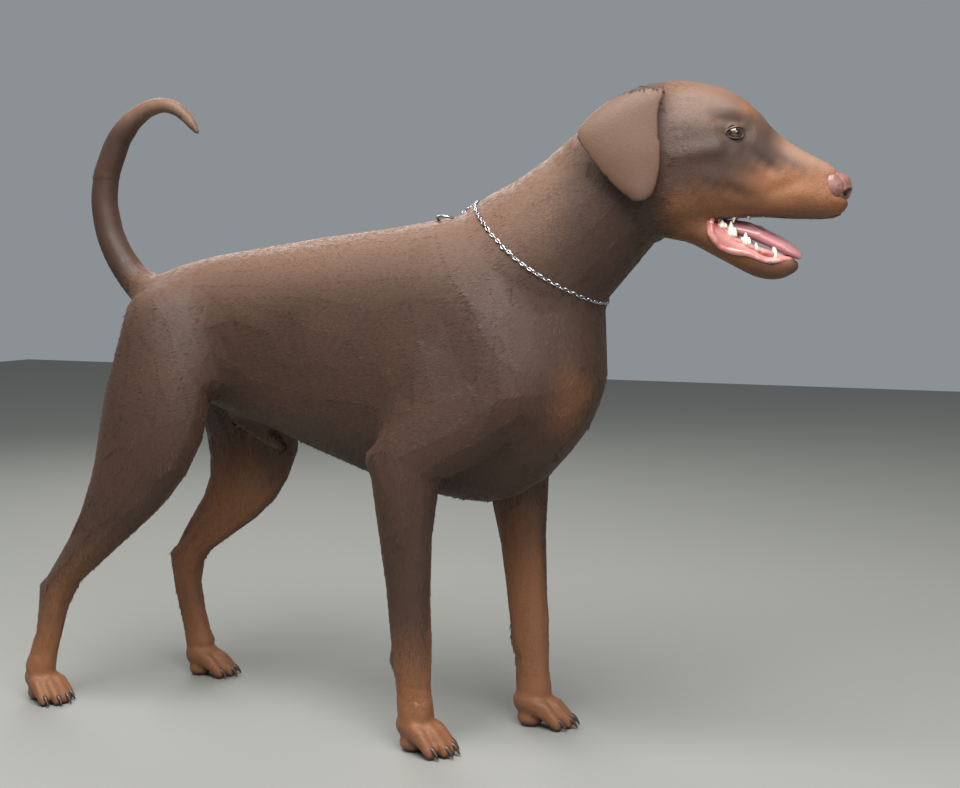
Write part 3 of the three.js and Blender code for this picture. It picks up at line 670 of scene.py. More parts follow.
def fine_share(body, head):
    """1 where small forms are kept: face, ears and paws."""
    s, t, h = head.T
    z = body[:, 2]
    face = soft_step(s, 60, 110) * (z > 600) * (1 - 0.3 * soft_step(s, 222, 236) * soft_step(h, 726, 738))
    ears = soft_step(np.abs(t), 66, 69) * (s > -80) * (s < 60) * (h > 720)
    paws = 1 - soft_step(z, 50, 80)
    tail = (body[:, 0] < -385) * (z > 640) * 0.5 + (z > 780) * (body[:, 0] < -200) * 0.7
    return np.clip(np.maximum.reduce([face, ears * 0.78, paws, tail]), 0, 1)


def face_area(points):
    """Where the face needs finer faces: eyes, muzzle and mouth."""
    s, _, h = to_head(points).T
    return (s > 92) & (h > 620) & (points[:, 2] > 0.6)


def refine_face(piece):
    """Splits the faces of the face's area in four."""
    bm = bmesh.new()
    bm.from_mesh(piece.data)
    take = face_area(np.array([f.calc_center_median() for f in bm.faces]))
    edges = list({e for f, yes in zip(bm.faces, take) if yes for e in f.edges})
    bmesh.ops.subdivide_edges(bm, edges=edges, cuts=1, use_grid_fill=True)
    bm.to_mesh(piece.data)
    bm.free()


def thin_out(piece, target):
    """Merges faces off the face and paws until the skin has the target count of triangles."""
    mesh = piece.data
    mesh.calc_loop_triangles()
    count = len(mesh.loop_triangles)
    if count <= target:
        return
    clay = Clay(mesh)
    weight = 1 - fine_share(to_body(clay.co), to_head(clay.co)) * 0.9
    group = piece.vertex_groups.new(name="plain")
    for i, w in enumerate(weight):
        group.add([i], float(w), "REPLACE")
    tool = piece.modifiers.new("thin", "DECIMATE")
    tool.ratio = target / count
    tool.vertex_group = "plain"
    tool.vertex_group_factor = 1.0
    tool.use_collapse_triangulate = True
    apply_modifiers(piece)
    piece.vertex_groups.clear()


def eye_frame(side):
    """Seat, outward gaze, forward and up directions of one eye."""
    way = SIDES[side]
    low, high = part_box("eye_" + side)
    seat = np.array((low + high) / 2)
    gaze = head_direction(0.55, way * 0.82, 0.12)
    ahead = head_direction(0.82, -way * 0.55, -0.14)
    ahead -= gaze * (ahead @ gaze)
    ahead /= np.linalg.norm(ahead)
    up = np.cross(gaze, ahead) * way
    return seat, gaze, ahead, up


# The eyeball's radius, in metres
EYE_RADIUS = 0.0115


def lid_edge(angle):
    """The almond of the open lids: ahead and up shares of the eye's radius at an angle round it."""
    c, s = math.cos(angle), math.sin(angle)
    return 1.22 * c, s * (0.72 if s > 0 else 0.56) * (1 - 0.3 * abs(c) ** 3) - 0.16 * c


def eye_reach(points, side):
    """For each place, how far ahead, up and out it is in eye radii, and the lids' reach that way."""
    seat, gaze, ahead, up = eye_frame(side)
    away = (points - seat) / EYE_RADIUS
    a, b = away @ ahead, away @ up
    angle = np.arctan2((b + 0.13 * a) / 0.64, a / 1.22)
    limit = np.array([math.hypot(*lid_edge(v)) for v in angle])
    return a, b, away @ gaze, limit


def lid_distance(points):
    """How far places lie from the middle of the nearer eye, as a share of the lids' reach."""
    share = np.full(len(points), 9.0)
    for side in SIDES:
        near = np.linalg.norm(points - eye_frame(side)[0], axis=1) < EYE_RADIUS * 2
        if near.any():
            a, b, out, limit = eye_reach(points[near], side)
            share[near] = np.minimum(share[near], np.where(out > 0, np.hypot(a, b) / limit, 9.0))
    return share


def seat_eyes(clay):
    """Fits the skin round each eyeball and opens the lids over it."""
    for side in SIDES:
        seat, gaze, _, _ = eye_frame(side)
        away = clay.co - seat
        behind = np.sum(clay.normals() * away, 1) < 0
        far = np.linalg.norm(away, axis=1)
        near = (far < EYE_RADIUS * 2.4) & (away @ gaze > -EYE_RADIUS * 0.3)
        a, b, _, limit = eye_reach(clay.co[near], side)
        size = np.hypot(a, b)
        far = far[near]
        ridge = np.exp(-((size - limit - 0.2) / 0.26) ** 2) * np.where(b > 0, 0.001, 0.0005)
        lid = EYE_RADIUS + 0.0012 + ridge
        close = np.exp(-(np.clip(size - limit, 0, None) / 0.8) ** 2)
        depth = np.full(len(a), EYE_RADIUS - 0.001)
        depth = np.where(np.abs(a) > 0.95, EYE_RADIUS + 0.0003, depth)
        outside = np.where(far < lid, lid, far * (1 - close) + lid * close)
        radius = np.where((size < limit * 0.86) | behind[near], depth, outside)
        clay.co[near] = seat + away[near] / far[:, None] * radius[:, None]


def coat_uv(points, normals):
    """Places on an unwrap of the skin: a chart for each side of the animal and each way its surface faces."""
    body = to_body(points)
    axis = np.argmax(np.abs(normals), axis=1)
    forward = np.take_along_axis(normals, axis[:, None], 1)[:, 0] > 0
    chart = axis * 4 + forward * 2 + (body[:, 1] > 0)
    wide = (body - np.array([-520, -150, 0])) / np.array([1220, 300, 900])
    first = np.where(axis == 0, wide[:, 1], wide[:, 0])
    second = np.where(axis == 2, wide[:, 1], wide[:, 2])
    column, row = chart % 4, chart // 4
    return np.stack([(column + 0.02 + 0.96 * np.clip(first, 0, 1)) / 4,
                     (row + 0.02 + 0.96 * np.clip(second, 0, 1)) / 3], 1)


# The middle of the tail's curve, along and up, in body millimetres
TAIL_CENTRE = (-330, 770)


def hair_lie(points, normals):
    """Which way the hair lies: back over head and trunk, down the legs, ears and chest, along the tail."""
    body = to_body(points)
    head = to_head(points)
    x, _, z = body.T
    s, t, h = head.T
    way = np.tile(np.array([-1.0, 0, -0.35]), (len(points), 1))
    legs = (1 - soft_step(z, 380, 470))[:, None]
    way = way * (1 - legs) + np.array([-0.1, 0, -1.0]) * legs
    chest = (soft_step(x, 230, 320) * (z < 620) * (z > 330))[:, None]
    way = way * (1 - chest) + np.array([-0.35, 0, -1.0]) * chest
    neck = ((x > 300) & (z > 600))[:, None]
    way = np.where(neck, np.array([-0.7, 0, -0.72]), way)
    skull = ((s > 10) & (h > 620) & (x > 300))[:, None]
    way = np.where(skull, np.array([-1.0, 0, -0.12]), way)
    ears = ((np.abs(t) > 64) & (s > -75) & (s < 52) & (h > 722))[:, None]
    way = np.where(ears, np.array([0.1, 0, -1.0]), way)
    tail = (x < -340) & (z > 600)
    round_tail = np.stack([z - TAIL_CENTRE[1], np.zeros(len(x)), TAIL_CENTRE[0] - x], 1)
    way = np.where((tail | ((z > 790) & (x < -200)))[:, None], round_tail, way)
    way -= normals * np.sum(way * normals, 1, keepdims=True)
    return way / np.linalg.norm(way, axis=1, keepdims=True).clip(1e-9)


def scatter(mesh, count, rng):
    """Random places on a mesh with their normals, denser where the forms are small."""
    mesh.calc_loop_triangles()
    corners = np.empty(len(mesh.loop_triangles) * 3, int)
    mesh.loop_triangles.foreach_get("vertices", corners)
    corners = corners.reshape(-1, 3)
    clay = Clay(mesh)
    a, b, c = (clay.co[corners[:, i]] for i in range(3))
    cross = np.cross(b - a, c - a)
    area = np.linalg.norm(cross, axis=1)
    middle = (a + b + c) / 3
    fine = fine_share(to_body(middle), to_head(middle))
    side = np.abs(to_head(middle)[:, 1])
    fine = np.maximum(fine, soft_step(side, 66, 69) * (to_body(middle)[:, 0] > 300))
    bare = mouth_share(middle)
    chance = area * (1 + 1.6 * fine) * (1 - bare) * (middle[:, 2] > 0.006)
    picks = rng.choice(len(area), count, p=chance / chance.sum())
    u, v = rng.random((2, count))
    over = u + v > 1
    u[over], v[over] = 1 - u[over], 1 - v[over]
    points = a[picks] + (b - a)[picks] * u[:, None] + (c - a)[picks] * v[:, None]
    normals = cross[picks] / area[picks][:, None]
    return points, normals, fine[picks]


class DOG_OT_coat(bpy.types.Operator):
    """Short tufts over the skin, thin and overlapping, that lie as the hair lies"""

    bl_idname = "dog.coat"
    bl_label = "Coat"

    def execute(self, context):
        coat = context.scene.dog_coat
        material = coat_material(coat, "Hair tips, chocolate and rust", 0.4)
        skin = bpy.data.objects["skin"]
        for part in range(3):
            rng = np.random.default_rng(40 + part)
            points, normals, fine = scatter(skin.data, coat.tufts, rng)
            keep = clear_of_eyes(points)
            points, normals, fine = points[keep], normals[keep], fine[keep]
            self.tufts(points, normals, fine, coat, material, rng, "coat_%d" % (part + 1))
        return {"FINISHED"}

    def tufts(self, points, normals, fine, coat, material, rng, name):
        """One piece of coat: a thin tuft of four triangles at each place."""
        count = len(points)
        lie = hair_lie(points, normals)
        side = np.cross(normals, lie)
        lie = lie + side * rng.normal(0, 0.16, (count, 1))
        lie /= np.linalg.norm(lie, axis=1, keepdims=True)
        side = np.cross(normals, lie)
        length = coat.hair * (1 - 0.76 * fine) * rng.uniform(0.75, 1.25, count)
        width = length * 0.095
        lift = length * rng.uniform(0.015, 0.045, count)
        root = points - normals * 0.0003
        left = root + side * width[:, None]
        right = root - side * width[:, None]
        crown = points + lie * (length * 0.35)[:, None] + normals * (lift * 0.9)[:, None]
        tip = points + lie * length[:, None] + normals * lift[:, None]
        verts = np.stack([left, right, crown, tip], 1).reshape(-1, 3)
        faces = np.array([[0, 1, 2], [1, 3, 2], [3, 0, 2], [1, 0, 3]])
        faces = (faces[None] + 4 * np.arange(count)[:, None, None]).reshape(-1, 3)
        mesh = mesh_of(name, verts, faces)
        layers = markings(points)
        tint = np.clip(rng.normal(0, 0.06, count), -0.15, 0.15)
        layers["rust"] = np.clip(layers["rust"] + tint * 2, 0, 1)
        layers["dark"] = np.clip(layers["dark"] + tint, 0, 1)
        write_layers(mesh, {k: np.repeat(v, 4) for k, v in layers.items()})
        write_patches(mesh, coat_uv(points, normals))
        smooth_faces(mesh)
        mesh.normals_split_custom_set_from_vertices(np.repeat(normals, 4, axis=0))
        mesh.materials.append(material)
        piece = bpy.data.objects.new(name, mesh)
        bpy.context.scene.collection.objects.link(piece)
        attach(piece, "root")


def mesh_of(name, verts, faces):
    """A mesh of triangles from arrays."""
    mesh = bpy.data.meshes.new(name)
    mesh.vertices.add(len(verts))
    mesh.vertices.foreach_set("co", np.ascontiguousarray(verts, np.float32).ravel())
    mesh.loops.add(len(faces) * 3)
    mesh.loops.foreach_set("vertex_index", faces.ravel().astype(np.int32))
    mesh.polygons.add(len(faces))
    mesh.polygons.foreach_set("loop_start", np.arange(0, len(faces) * 3, 3, dtype=np.int32))
    mesh.update(calc_edges=True)
    mesh.validate()
    return mesh


# Size of each tuft's patch on the unwrap, as a share of its side
PATCH = 0.003


def write_patches(mesh, places):
    """Gives each tuft of four triangles a small patch at its root's place on the skin's unwrap."""
    corners = np.array([[0, 0], [1, 0], [0.5, 0.4], [0.5, 1]]) * PATCH - PATCH / 2
    index = np.empty(len(mesh.loops), int)
    mesh.loops.foreach_get("vertex_index", index)
    uv = places[index // 4] + corners[index % 4]
    mesh.uv_layers.new(name="OFBake").data.foreach_set("uv", uv.ravel().astype(np.float32))


def clear_of_eyes(points):
    """False for places on the lids' edges and over the eyes."""
    keep = np.ones(len(points), bool)
    for side in SIDES:
        seat, gaze, _, _ = eye_frame(side)
        keep &= np.linalg.norm(points - seat - gaze * EYE_RADIUS * 0.8, axis=1) > EYE_RADIUS * 1.4
    return keep


def sweep(bm, path, radii, around=8, flat=1.0, up=None, closed=False):
    """A tube along a path; flat squeezes its section along up."""
    path = [Vector(p) for p in path]
    count = len(path)
    radii = np.broadcast_to(radii, count)
    rings = []
    for i, here in enumerate(path):
        ahead = path[(i + 1) % count] if closed else path[min(i + 1, count - 1)]
        behind = path[i - 1] if closed or i else path[0]
        way = (ahead - behind).normalized()
        rise = Vector((0, 0, 1) if abs(way.z) < 0.9 else (1, 0, 0)) if up is None else Vector(up)
        side = way.cross(rise).normalized()
        rise = side.cross(way)
        ring = []
        for k in range(around):
            angle = 2 * math.pi * k / around
            off = math.cos(angle) * side + flat * math.sin(angle) * rise
            ring.append(bm.verts.new(here + off * float(radii[i])))
        rings.append(ring)
    for i in range(count if closed else count - 1):
        a, b = rings[i], rings[(i + 1) % count]
        for k in range(around):
            bm.faces.new((a[k], a[(k + 1) % around], b[(k + 1) % around], b[k]))
    if not closed:
        bm.faces.new(list(reversed(rings[0])))
        bm.faces.new(rings[-1])
    return rings


def finish_piece(bm, name, material, nodes=()):
    """Normals outward, smooth, riding on the animal; stands for the nodes given."""
    bmesh.ops.recalc_face_normals(bm, faces=bm.faces)
    piece = object_from(bm, name, material)
    if nodes:
        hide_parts(*nodes)
    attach(piece, "root")
    return piece


class DOG_OT_eyes(bpy.types.Operator):
    """Wet amber eyes with round pupils, and the lids' dark rims"""

    bl_idname = "dog.eyes"
    bl_label = "Eyes"

    def execute(self, context):
        material = self.eye_material()
        upper_rim = new_material("Upper lids, dark brown skin", 0.6, Base_Color=linear("#2b1b15"))[0]
        lower_rim = new_material("Lower lids, moist paler skin", 0.35, Base_Color=linear("#6a5048"))[0]
        for side in SIDES:
            seat, gaze, ahead, up = eye_frame(side)
            bm = bmesh.new()
            bmesh.ops.create_uvsphere(bm, u_segments=40, v_segments=28, radius=EYE_RADIUS)
            turn = Matrix((Vector(ahead), Vector(up), Vector(gaze))).transposed()
            for v in bm.verts:
                bulge = max(0.0, v.co.normalized().z - 0.8) / 0.2
                v.co *= 1 + 0.035 * bulge
                v.co = Vector(seat) + turn @ v.co
            piece = finish_piece(bm, "eyeball_" + side, material, ("eye_" + side,))
            clay = Clay(piece.data)
            away = (clay.co - seat) / EYE_RADIUS
            off = np.degrees(np.arccos(np.clip(away @ gaze / np.linalg.norm(away, axis=1), -1, 1)))
            write_layers(piece.data, {"off_axis": off})
            for part, colour, first in (("upper", upper_rim, 0), ("lower", lower_rim, 20)):
                edge = []
                for k in range(first, first + 21):
                    a, b = lid_edge(2 * math.pi * k / 40)
                    out = math.sqrt(max(0.2, 1.24 - a * a - b * b))
                    edge.append(seat + EYE_RADIUS * (ahead * a + up * b + gaze * out))
                bm = bmesh.new()
                thick = 0.0009 + 0.0009 * np.sin(np.linspace(0, math.pi, 21))
                sweep(bm, edge, thick * (0.75 if first == 0 else 0.55), around=8, up=gaze)
                finish_piece(bm, "lid_%s_%s" % (part, side), colour)
        return {"FINISHED"}

    def eye_material(self):
        """Iris with a dark limb and a round pupil; gloss as the wet surface."""
        wet = dict(Coat_Weight=1.0, Coat_Roughness=0.03)
        material, tree, shader = new_material("Eye, amber iris under a wet surface", 0.1, **wet)
        off = node(tree, "ShaderNodeAttribute", attribute_name="off_axis").outputs["Fac"]
        share = node(tree, "ShaderNodeMath", {0: off, 1: 90.0}, operation="DIVIDE").outputs[0]
        ramp = node(tree, "ShaderNodeValToRGB", {"Fac": share})
        # Share of 90 degrees off the gaze, and the colour there: pupil, iris, limb and white
        stops = [
            (0.0, "#050303"), (0.17, "#070404"), (0.2, "#3d220e"), (0.36, "#5c3716"),
            (0.5, "#2c190d"), (0.56, "#1d120c"), (0.68, "#2a1c16"), (0.8, "#6a5a50"),
        ]
        elements = ramp.color_ramp.elements
        for place, colour in stops[2:]:
            elements.new(place)
        for element, (place, colour) in zip(elements, stops):
            element.position = place
            element.color = linear(colour)
        tree.links.new(ramp.outputs[0], shader.inputs["Base Color"])
        return material


class DOG_OT_nose(bpy.types.Operator):
    """Nose leather with nostrils, a middle groove and a pebbled surface"""

    bl_idname = "dog.nose"
    bl_label = "Nose"

    def execute(self, context):
        details = context.scene.dog_details
        piece = flesh_copy(["nose"], 0.0004, 0.0007)
        clay = Clay(piece.data)
        clay.relax(24, 0.5)
        groove = [(tuple(head_to_body(268, 0, 762)), tuple(head_to_body(262, 0, 728)), 2.2, -1.3)]
        head = to_head(clay.co)
        head[:, 0] -= 5 * soft_step(262 - head[:, 0], 0, 20)
        head[:, 1] *= 1.07
        head[:, 2] += 3.5 * soft_step(262 - head[:, 0], 0, 16) * soft_step(head[:, 2], 746, 760)
        clay.co = on_heads(head)
        clay.press(groove)
        clay.relax(3, 0.5)
        clay.put()
        along, side, height = to_head(clay.co).T
        # Painted shade where the nostrils open
        nostril = np.hypot((height - 741) / 7, (np.abs(side) - 11) / 6) * (along > 240)
        write_layers(piece.data, {"inner": 1 - soft_step(nostril, 0.5, 1.1)})
        piece.data.materials.append(self.leather(details))
        piece.name = "nose_leather"
        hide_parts("nose")
        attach(piece, "root")
        return {"FINISHED"}

    def leather(self, details):
        """Moist pebbled skin, with darker patches and painted shade inside the nostrils."""
        material, tree, shader = new_material("Nose leather, liver pink", 0.38, Specular_IOR_Level=0.5)
        place = node(tree, "ShaderNodeTexCoord").outputs["Object"]
        cells = {"Vector": place, "Scale": 700}
        pebbles = node(tree, "ShaderNodeTexVoronoi", cells, feature="SMOOTH_F1").outputs["Distance"]
        patches = node(tree, "ShaderNodeTexNoise", {"Vector": place, "Scale": 60, "Detail": 3}).outputs[0]
        inner = node(tree, "ShaderNodeAttribute", attribute_name="inner").outputs["Fac"]
        colour = layered(tree, linear(details.nose), [
            (patches, 0.4, 0.65, 0.7, "#86605a"), (pebbles, 0.3, 0.8, 0.35, "#5e3c36"), (inner, "#2a1512"),
        ])
        tree.links.new(colour, shader.inputs["Base Color"])
        bump = {"Height": pebbles, "Strength": 0.5, "Distance": -0.0006}
        tree.links.new(node(tree, "ShaderNodeBump", bump).outputs[0], shader.inputs["Normal"])
        return material


# Each tooth that shows, as [s, t, gum height, height, radius], with 1 up and -1 down
TEETH = {
    1: [
        (114, 25, 700, 8, 4.6), (125, 24, 691, 15, 5.4), (143, 22, 680, 12, 5.0),
        (156, 20.5, 672, 7, 3.8), (179, 15.5, 663, 16, 4.0), (190, 9.5, 661, 6, 2.2),
        (193, 5.6, 661, 5.5, 2.0), (194, 1.9, 661, 5, 1.9),
    ],
    -1: [
        (110, 24, 716, 11, 4.8), (128, 23, 716, 12, 4.4), (146, 21, 716, 7, 3.4), (164, 19.5, 716, 5, 2.8),
        (222, 15, 720, 13, 4.0), (238, 9.5, 720, 7, 2.3), (242, 5.5, 721, 6, 2.1), (243, 1.8, 721, 6, 2.0),
    ],
}

# The heights that tell the lower canines and the broad cheek teeth from the others
LOWER_CANINE = 16
CHEEK_TEETH = (15, 12, 11, 8)

# The lips' and gums' lines as [s, t, z], from the corner of the mouth to the front
LOWER_LIP = [
    (104, 25, 716), (98, 28, 711), (98, 30, 702), (101, 30, 691), (106, 29, 683), (113, 28, 676),
    (122, 28, 671), (134, 27, 668), (146, 25.5, 666), (154, 24, 662), (163, 23, 658), (174, 21, 656),
    (184, 18, 657), (192, 14, 659), (199, 8, 660), (201, 0, 660),
]
GUM = [
    (108, 24, 702), (118, 24, 694), (130, 22.5, 683), (143, 21, 677), (156, 19.5, 671), (168, 18, 667),
    (180, 14, 663), (190, 9, 660), (195, 0, 660),
]
UPPER_LIP = [
    (97, 28, 708), (104, 29, 713), (116, 29, 715), (136, 27.5, 710), (156, 25, 706), (176, 23.5, 705),
    (198, 22.5, 705), (210, 22, 706), (236, 17, 708), (251, 10, 714), (256, 3, 719),
]

# The tongue's middle groove as [s, z] and its raised rim, the same on each side
TONGUE_GROOVE = [(100, 707), (142, 701), (160, 697), (176, 689), (190, 681), (204, 672)]
TONGUE_RIM = [(120, 704), (160, 694), (190, 679)]


class DOG_OT_mouth(bpy.types.Operator):
    """Gums, turned-out lower lips, dark lip edges, ivory teeth and the moist tongue"""

    bl_idname = "dog.mouth"
    bl_label = "Mouth"

    def execute(self, context):
        details = context.scene.dog_details
        self.teeth()
        self.lips()
        self.tongue(details)
        return {"FINISHED"}

    def teeth(self):
        """Cones bent a little back; the broad cheek teeth have a smaller cusp before and behind."""
        stains = [(0.4, 0.8, 0.6, "#cdb389")]
        gloss = dict(roughness=0.22, Specular_IOR_Level=0.5, Coat_Weight=0.4)
        ivory = patterned("Tooth ivory", "#efe7d6", 160, 3, stains, **gloss)[0]
        bm = bmesh.new()
        for way, rows in TEETH.items():
            for side in SIDES.values():
                for s, t, gum, height, radius in rows:
                    back = -0.18 if height == LOWER_CANINE else 0.0
                    path = [
                        on_head(s + back * height * share ** 2, side * t, gum + way * height * share)
                        for share in (-0.35, 0.0, 0.3, 0.6, 0.85, 1.0)
                    ]
                    sizes = np.array([0.9, 0.95, 0.8, 0.55, 0.3, 0.1]) * radius / 1000
                    sweep(bm, path, sizes, around=10, up=head_direction(1, 0, 0))
                    if height in CHEEK_TEETH:
                        for step in (-0.85, 0.85):
                            cusp = [
                                on_head(s + step * radius, side * t, gum + way * height * share)
                                for share in (-0.3, 0.0, 0.3, 0.52)
                            ]
                            sweep(bm, cusp, np.array([0.7, 0.62, 0.42, 0.08]) * radius / 1000, around=8)
        finish_piece(bm, "teeth", ivory)

    def lips(self):
        """The turned-out lower lips and gums, and the dark rims below the lower lips and on the upper lips:
        dark lip skin, partly painted shadow under the lips' edges.
        """
        colours = [(0.38, 0.6, 0.8, "#d99a92"), (0.62, 0.75, 0.7, "#5d302b")]
        gloss = dict(roughness=0.2, Specular_IOR_Level=0.5, Coat_Weight=0.5)
        pink, tree, shader, _, spots = patterned("Moist lip and gum", "#b0655f", 75, 4, colours, **gloss)
        bump = {"Height": spots, "Strength": 0.3, "Distance": 0.001}
        tree.links.new(node(tree, "ShaderNodeBump", bump).outputs[0], shader.inputs["Normal"])
        dark = new_material("Lip rim, dark liver skin and painted shadow", roughness=0.35, Base_Color=linear("#35201a"))[0]
        skin = BVHTree.FromObject(bpy.data.objects["skin"], bpy.context.evaluated_depsgraph_get())
        bm = bmesh.new()
        rims = bmesh.new()
        for side in SIDES.values():
            outer = [self.on_skin(skin, on_head(s, side * t, z), 0.0004) for s, t, z in LOWER_LIP]
            outer = smooth_path(outer, 40)
            fold = 0.0034 + 0.0012 * np.sin(np.linspace(0, 9.5, 40)) ** 2
            fold[:5] *= np.linspace(0.35, 1, 5)
            sweep(bm, outer, fold * np.linspace(1.2, 0.8, 40), around=10)
            # Dark rim under the lower lip's roll: dark lip skin and painted shadow of the roll
            below = np.array(outer) - np.array([0, 0, 0.0032])
            sweep(rims, [self.on_skin(skin, p, 0.0002) for p in below], 0.0012, around=6)
            gum = smooth_path([on_head(s, side * t, z) for s, t, z in GUM], 30)
            sweep(bm, gum, 0.0044, around=10)
            # Dark rim on the upper lip's lower edge: dark lip skin and painted shadow under the lip
            upper = [self.on_skin(skin, on_head(s, side * t, z - 3), 0.0) for s, t, z in UPPER_LIP]
            edge = smooth_path(upper, 50)
            sweep(rims, edge, 0.0013, around=8)
        finish_piece(bm, "lips_and_gums", pink)
        finish_piece(rims, "lip_rims", dark)

    def on_skin(self, skin, point, lift):
        """The skin's nearest place to a point, lifted off it."""
        place, normal, _, _ = skin.find_nearest(Vector(point))
        return np.array(place + normal * lift)

    def tongue(self, details):
        """Soft flesh with a middle groove and raised rims, tipped a little to the right."""
        piece = flesh_copy(["tongue"], 0.0002, 0.0011)
        clay = Clay(piece.data)
        clay.relax(30, 0.5)
        path = [head_to_body(s, 0, z) for s, z in TONGUE_GROOVE]
        strokes = [(a, b, 6, -1.8) for a, b in zip(path, path[1:])]
        for side in SIDES.values():
            rim = [head_to_body(s, side * 15, z) for s, z in TONGUE_RIM]
            strokes += [(a, b, 6, 1.2) for a, b in zip(rim, rim[1:])]
        clay.press(strokes)
        clay.relax(3, 0.5)
        head = to_head(clay.co)
        head[:, 2] += 0.24 * head[:, 1] * soft_step(head[:, 0], 100, 140)
        clay.co = on_heads(head)
        clay.put()
        pink, red = linear(details.tongue), [(0.4, 0.7, 0.6, "#b06a6c")]
        gloss = dict(roughness=0.26, Coat_Weight=0.4)
        material, tree, shader, place, _ = patterned("Tongue, moist pink", pink, 55, 3, red, **gloss)
        buds = node(tree, "ShaderNodeTexVoronoi", {"Vector": place, "Scale": 900}).outputs["Distance"]
        bump = {"Height": buds, "Strength": 0.35, "Distance": 0.0005}
        tree.links.new(node(tree, "ShaderNodeBump", bump).outputs[0], shader.inputs["Normal"])
        piece.data.materials.append(material)
        piece.name = "tongue_flesh"
        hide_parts("tongue")
        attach(piece, "root")


def smooth_path(points, count):
    """Points spread evenly by number along a smooth curve through the given ones."""
    points = np.array(points)
    place = np.linspace(0, len(points) - 1, count)
    padded = np.vstack([2 * points[0] - points[1], points, 2 * points[-1] - points[-2]])
    out = []
    for value in place:
        i = min(int(value), len(points) - 2)
        u = value - i
        a, b, c, d = padded[i:i + 4]
        square, cube = 2 * a - 5 * b + 4 * c - d, 3 * b - a - 3 * c + d
        out.append(0.5 * (2 * b + (c - a) * u + square * u * u + cube * u ** 3))
    return np.array(out)


# Each paw as its place, turn in degrees and size, in body millimetres
PAWS = {
    "forepaw_right": (137, -87, -8, 1.02), "forepaw_left": (238, 84, 10, 1.02),
    "hindpaw_right": (-484, -112, -14, 0.96), "hindpaw_left": (-342, 105, 12, 0.96),
}

# The least height of a claw's middle line over the floor, in millimetres
CLAW_CLEAR = 1.6


class DOG_OT_claws(bpy.types.Operator):
    """Dark curved claws on every toe"""

    bl_idname = "dog.claws"
    bl_label = "Claws"

    def execute(self, context):
        streaks = [(0.4, 0.7, 0.6, "#6a5443")]
        gloss = dict(roughness=0.35, Specular_IOR_Level=0.5)
        horn = patterned("Claw horn, dark brown", "#2d211b", 500, 3, streaks, **gloss)[0]
        bm = bmesh.new()
        for x, y, turn, size in PAWS.values():
            angle = math.radians(turn)
            for i in (-1.5, -0.5, 0.5, 1.5):
                ahead = 10 if abs(i) > 1 else 22
                path = []
                for share in np.linspace(0, 1, 8):
                    px = (ahead + 19 + 14.5 * share) * size
                    py = i * (15.3 + share) * size
                    pz = (15.5 + 2.2 * share - 13.5 * share ** 2) * size - 1
                    ahead_x = px * math.cos(angle) - py * math.sin(angle)
                    ahead_y = px * math.sin(angle) + py * math.cos(angle)
                    path.append(at(x + ahead_x, y + ahead_y, max(pz, CLAW_CLEAR)))
                sizes = np.array([4.0, 3.9, 3.7, 3.4, 2.9, 2.3, 1.6, 0.8]) * size / 1000
                sweep(bm, path, sizes, around=10, flat=1.1, up=(0, 0, 1))
        finish_piece(bm, "claws", horn)
        return {"FINISHED"}


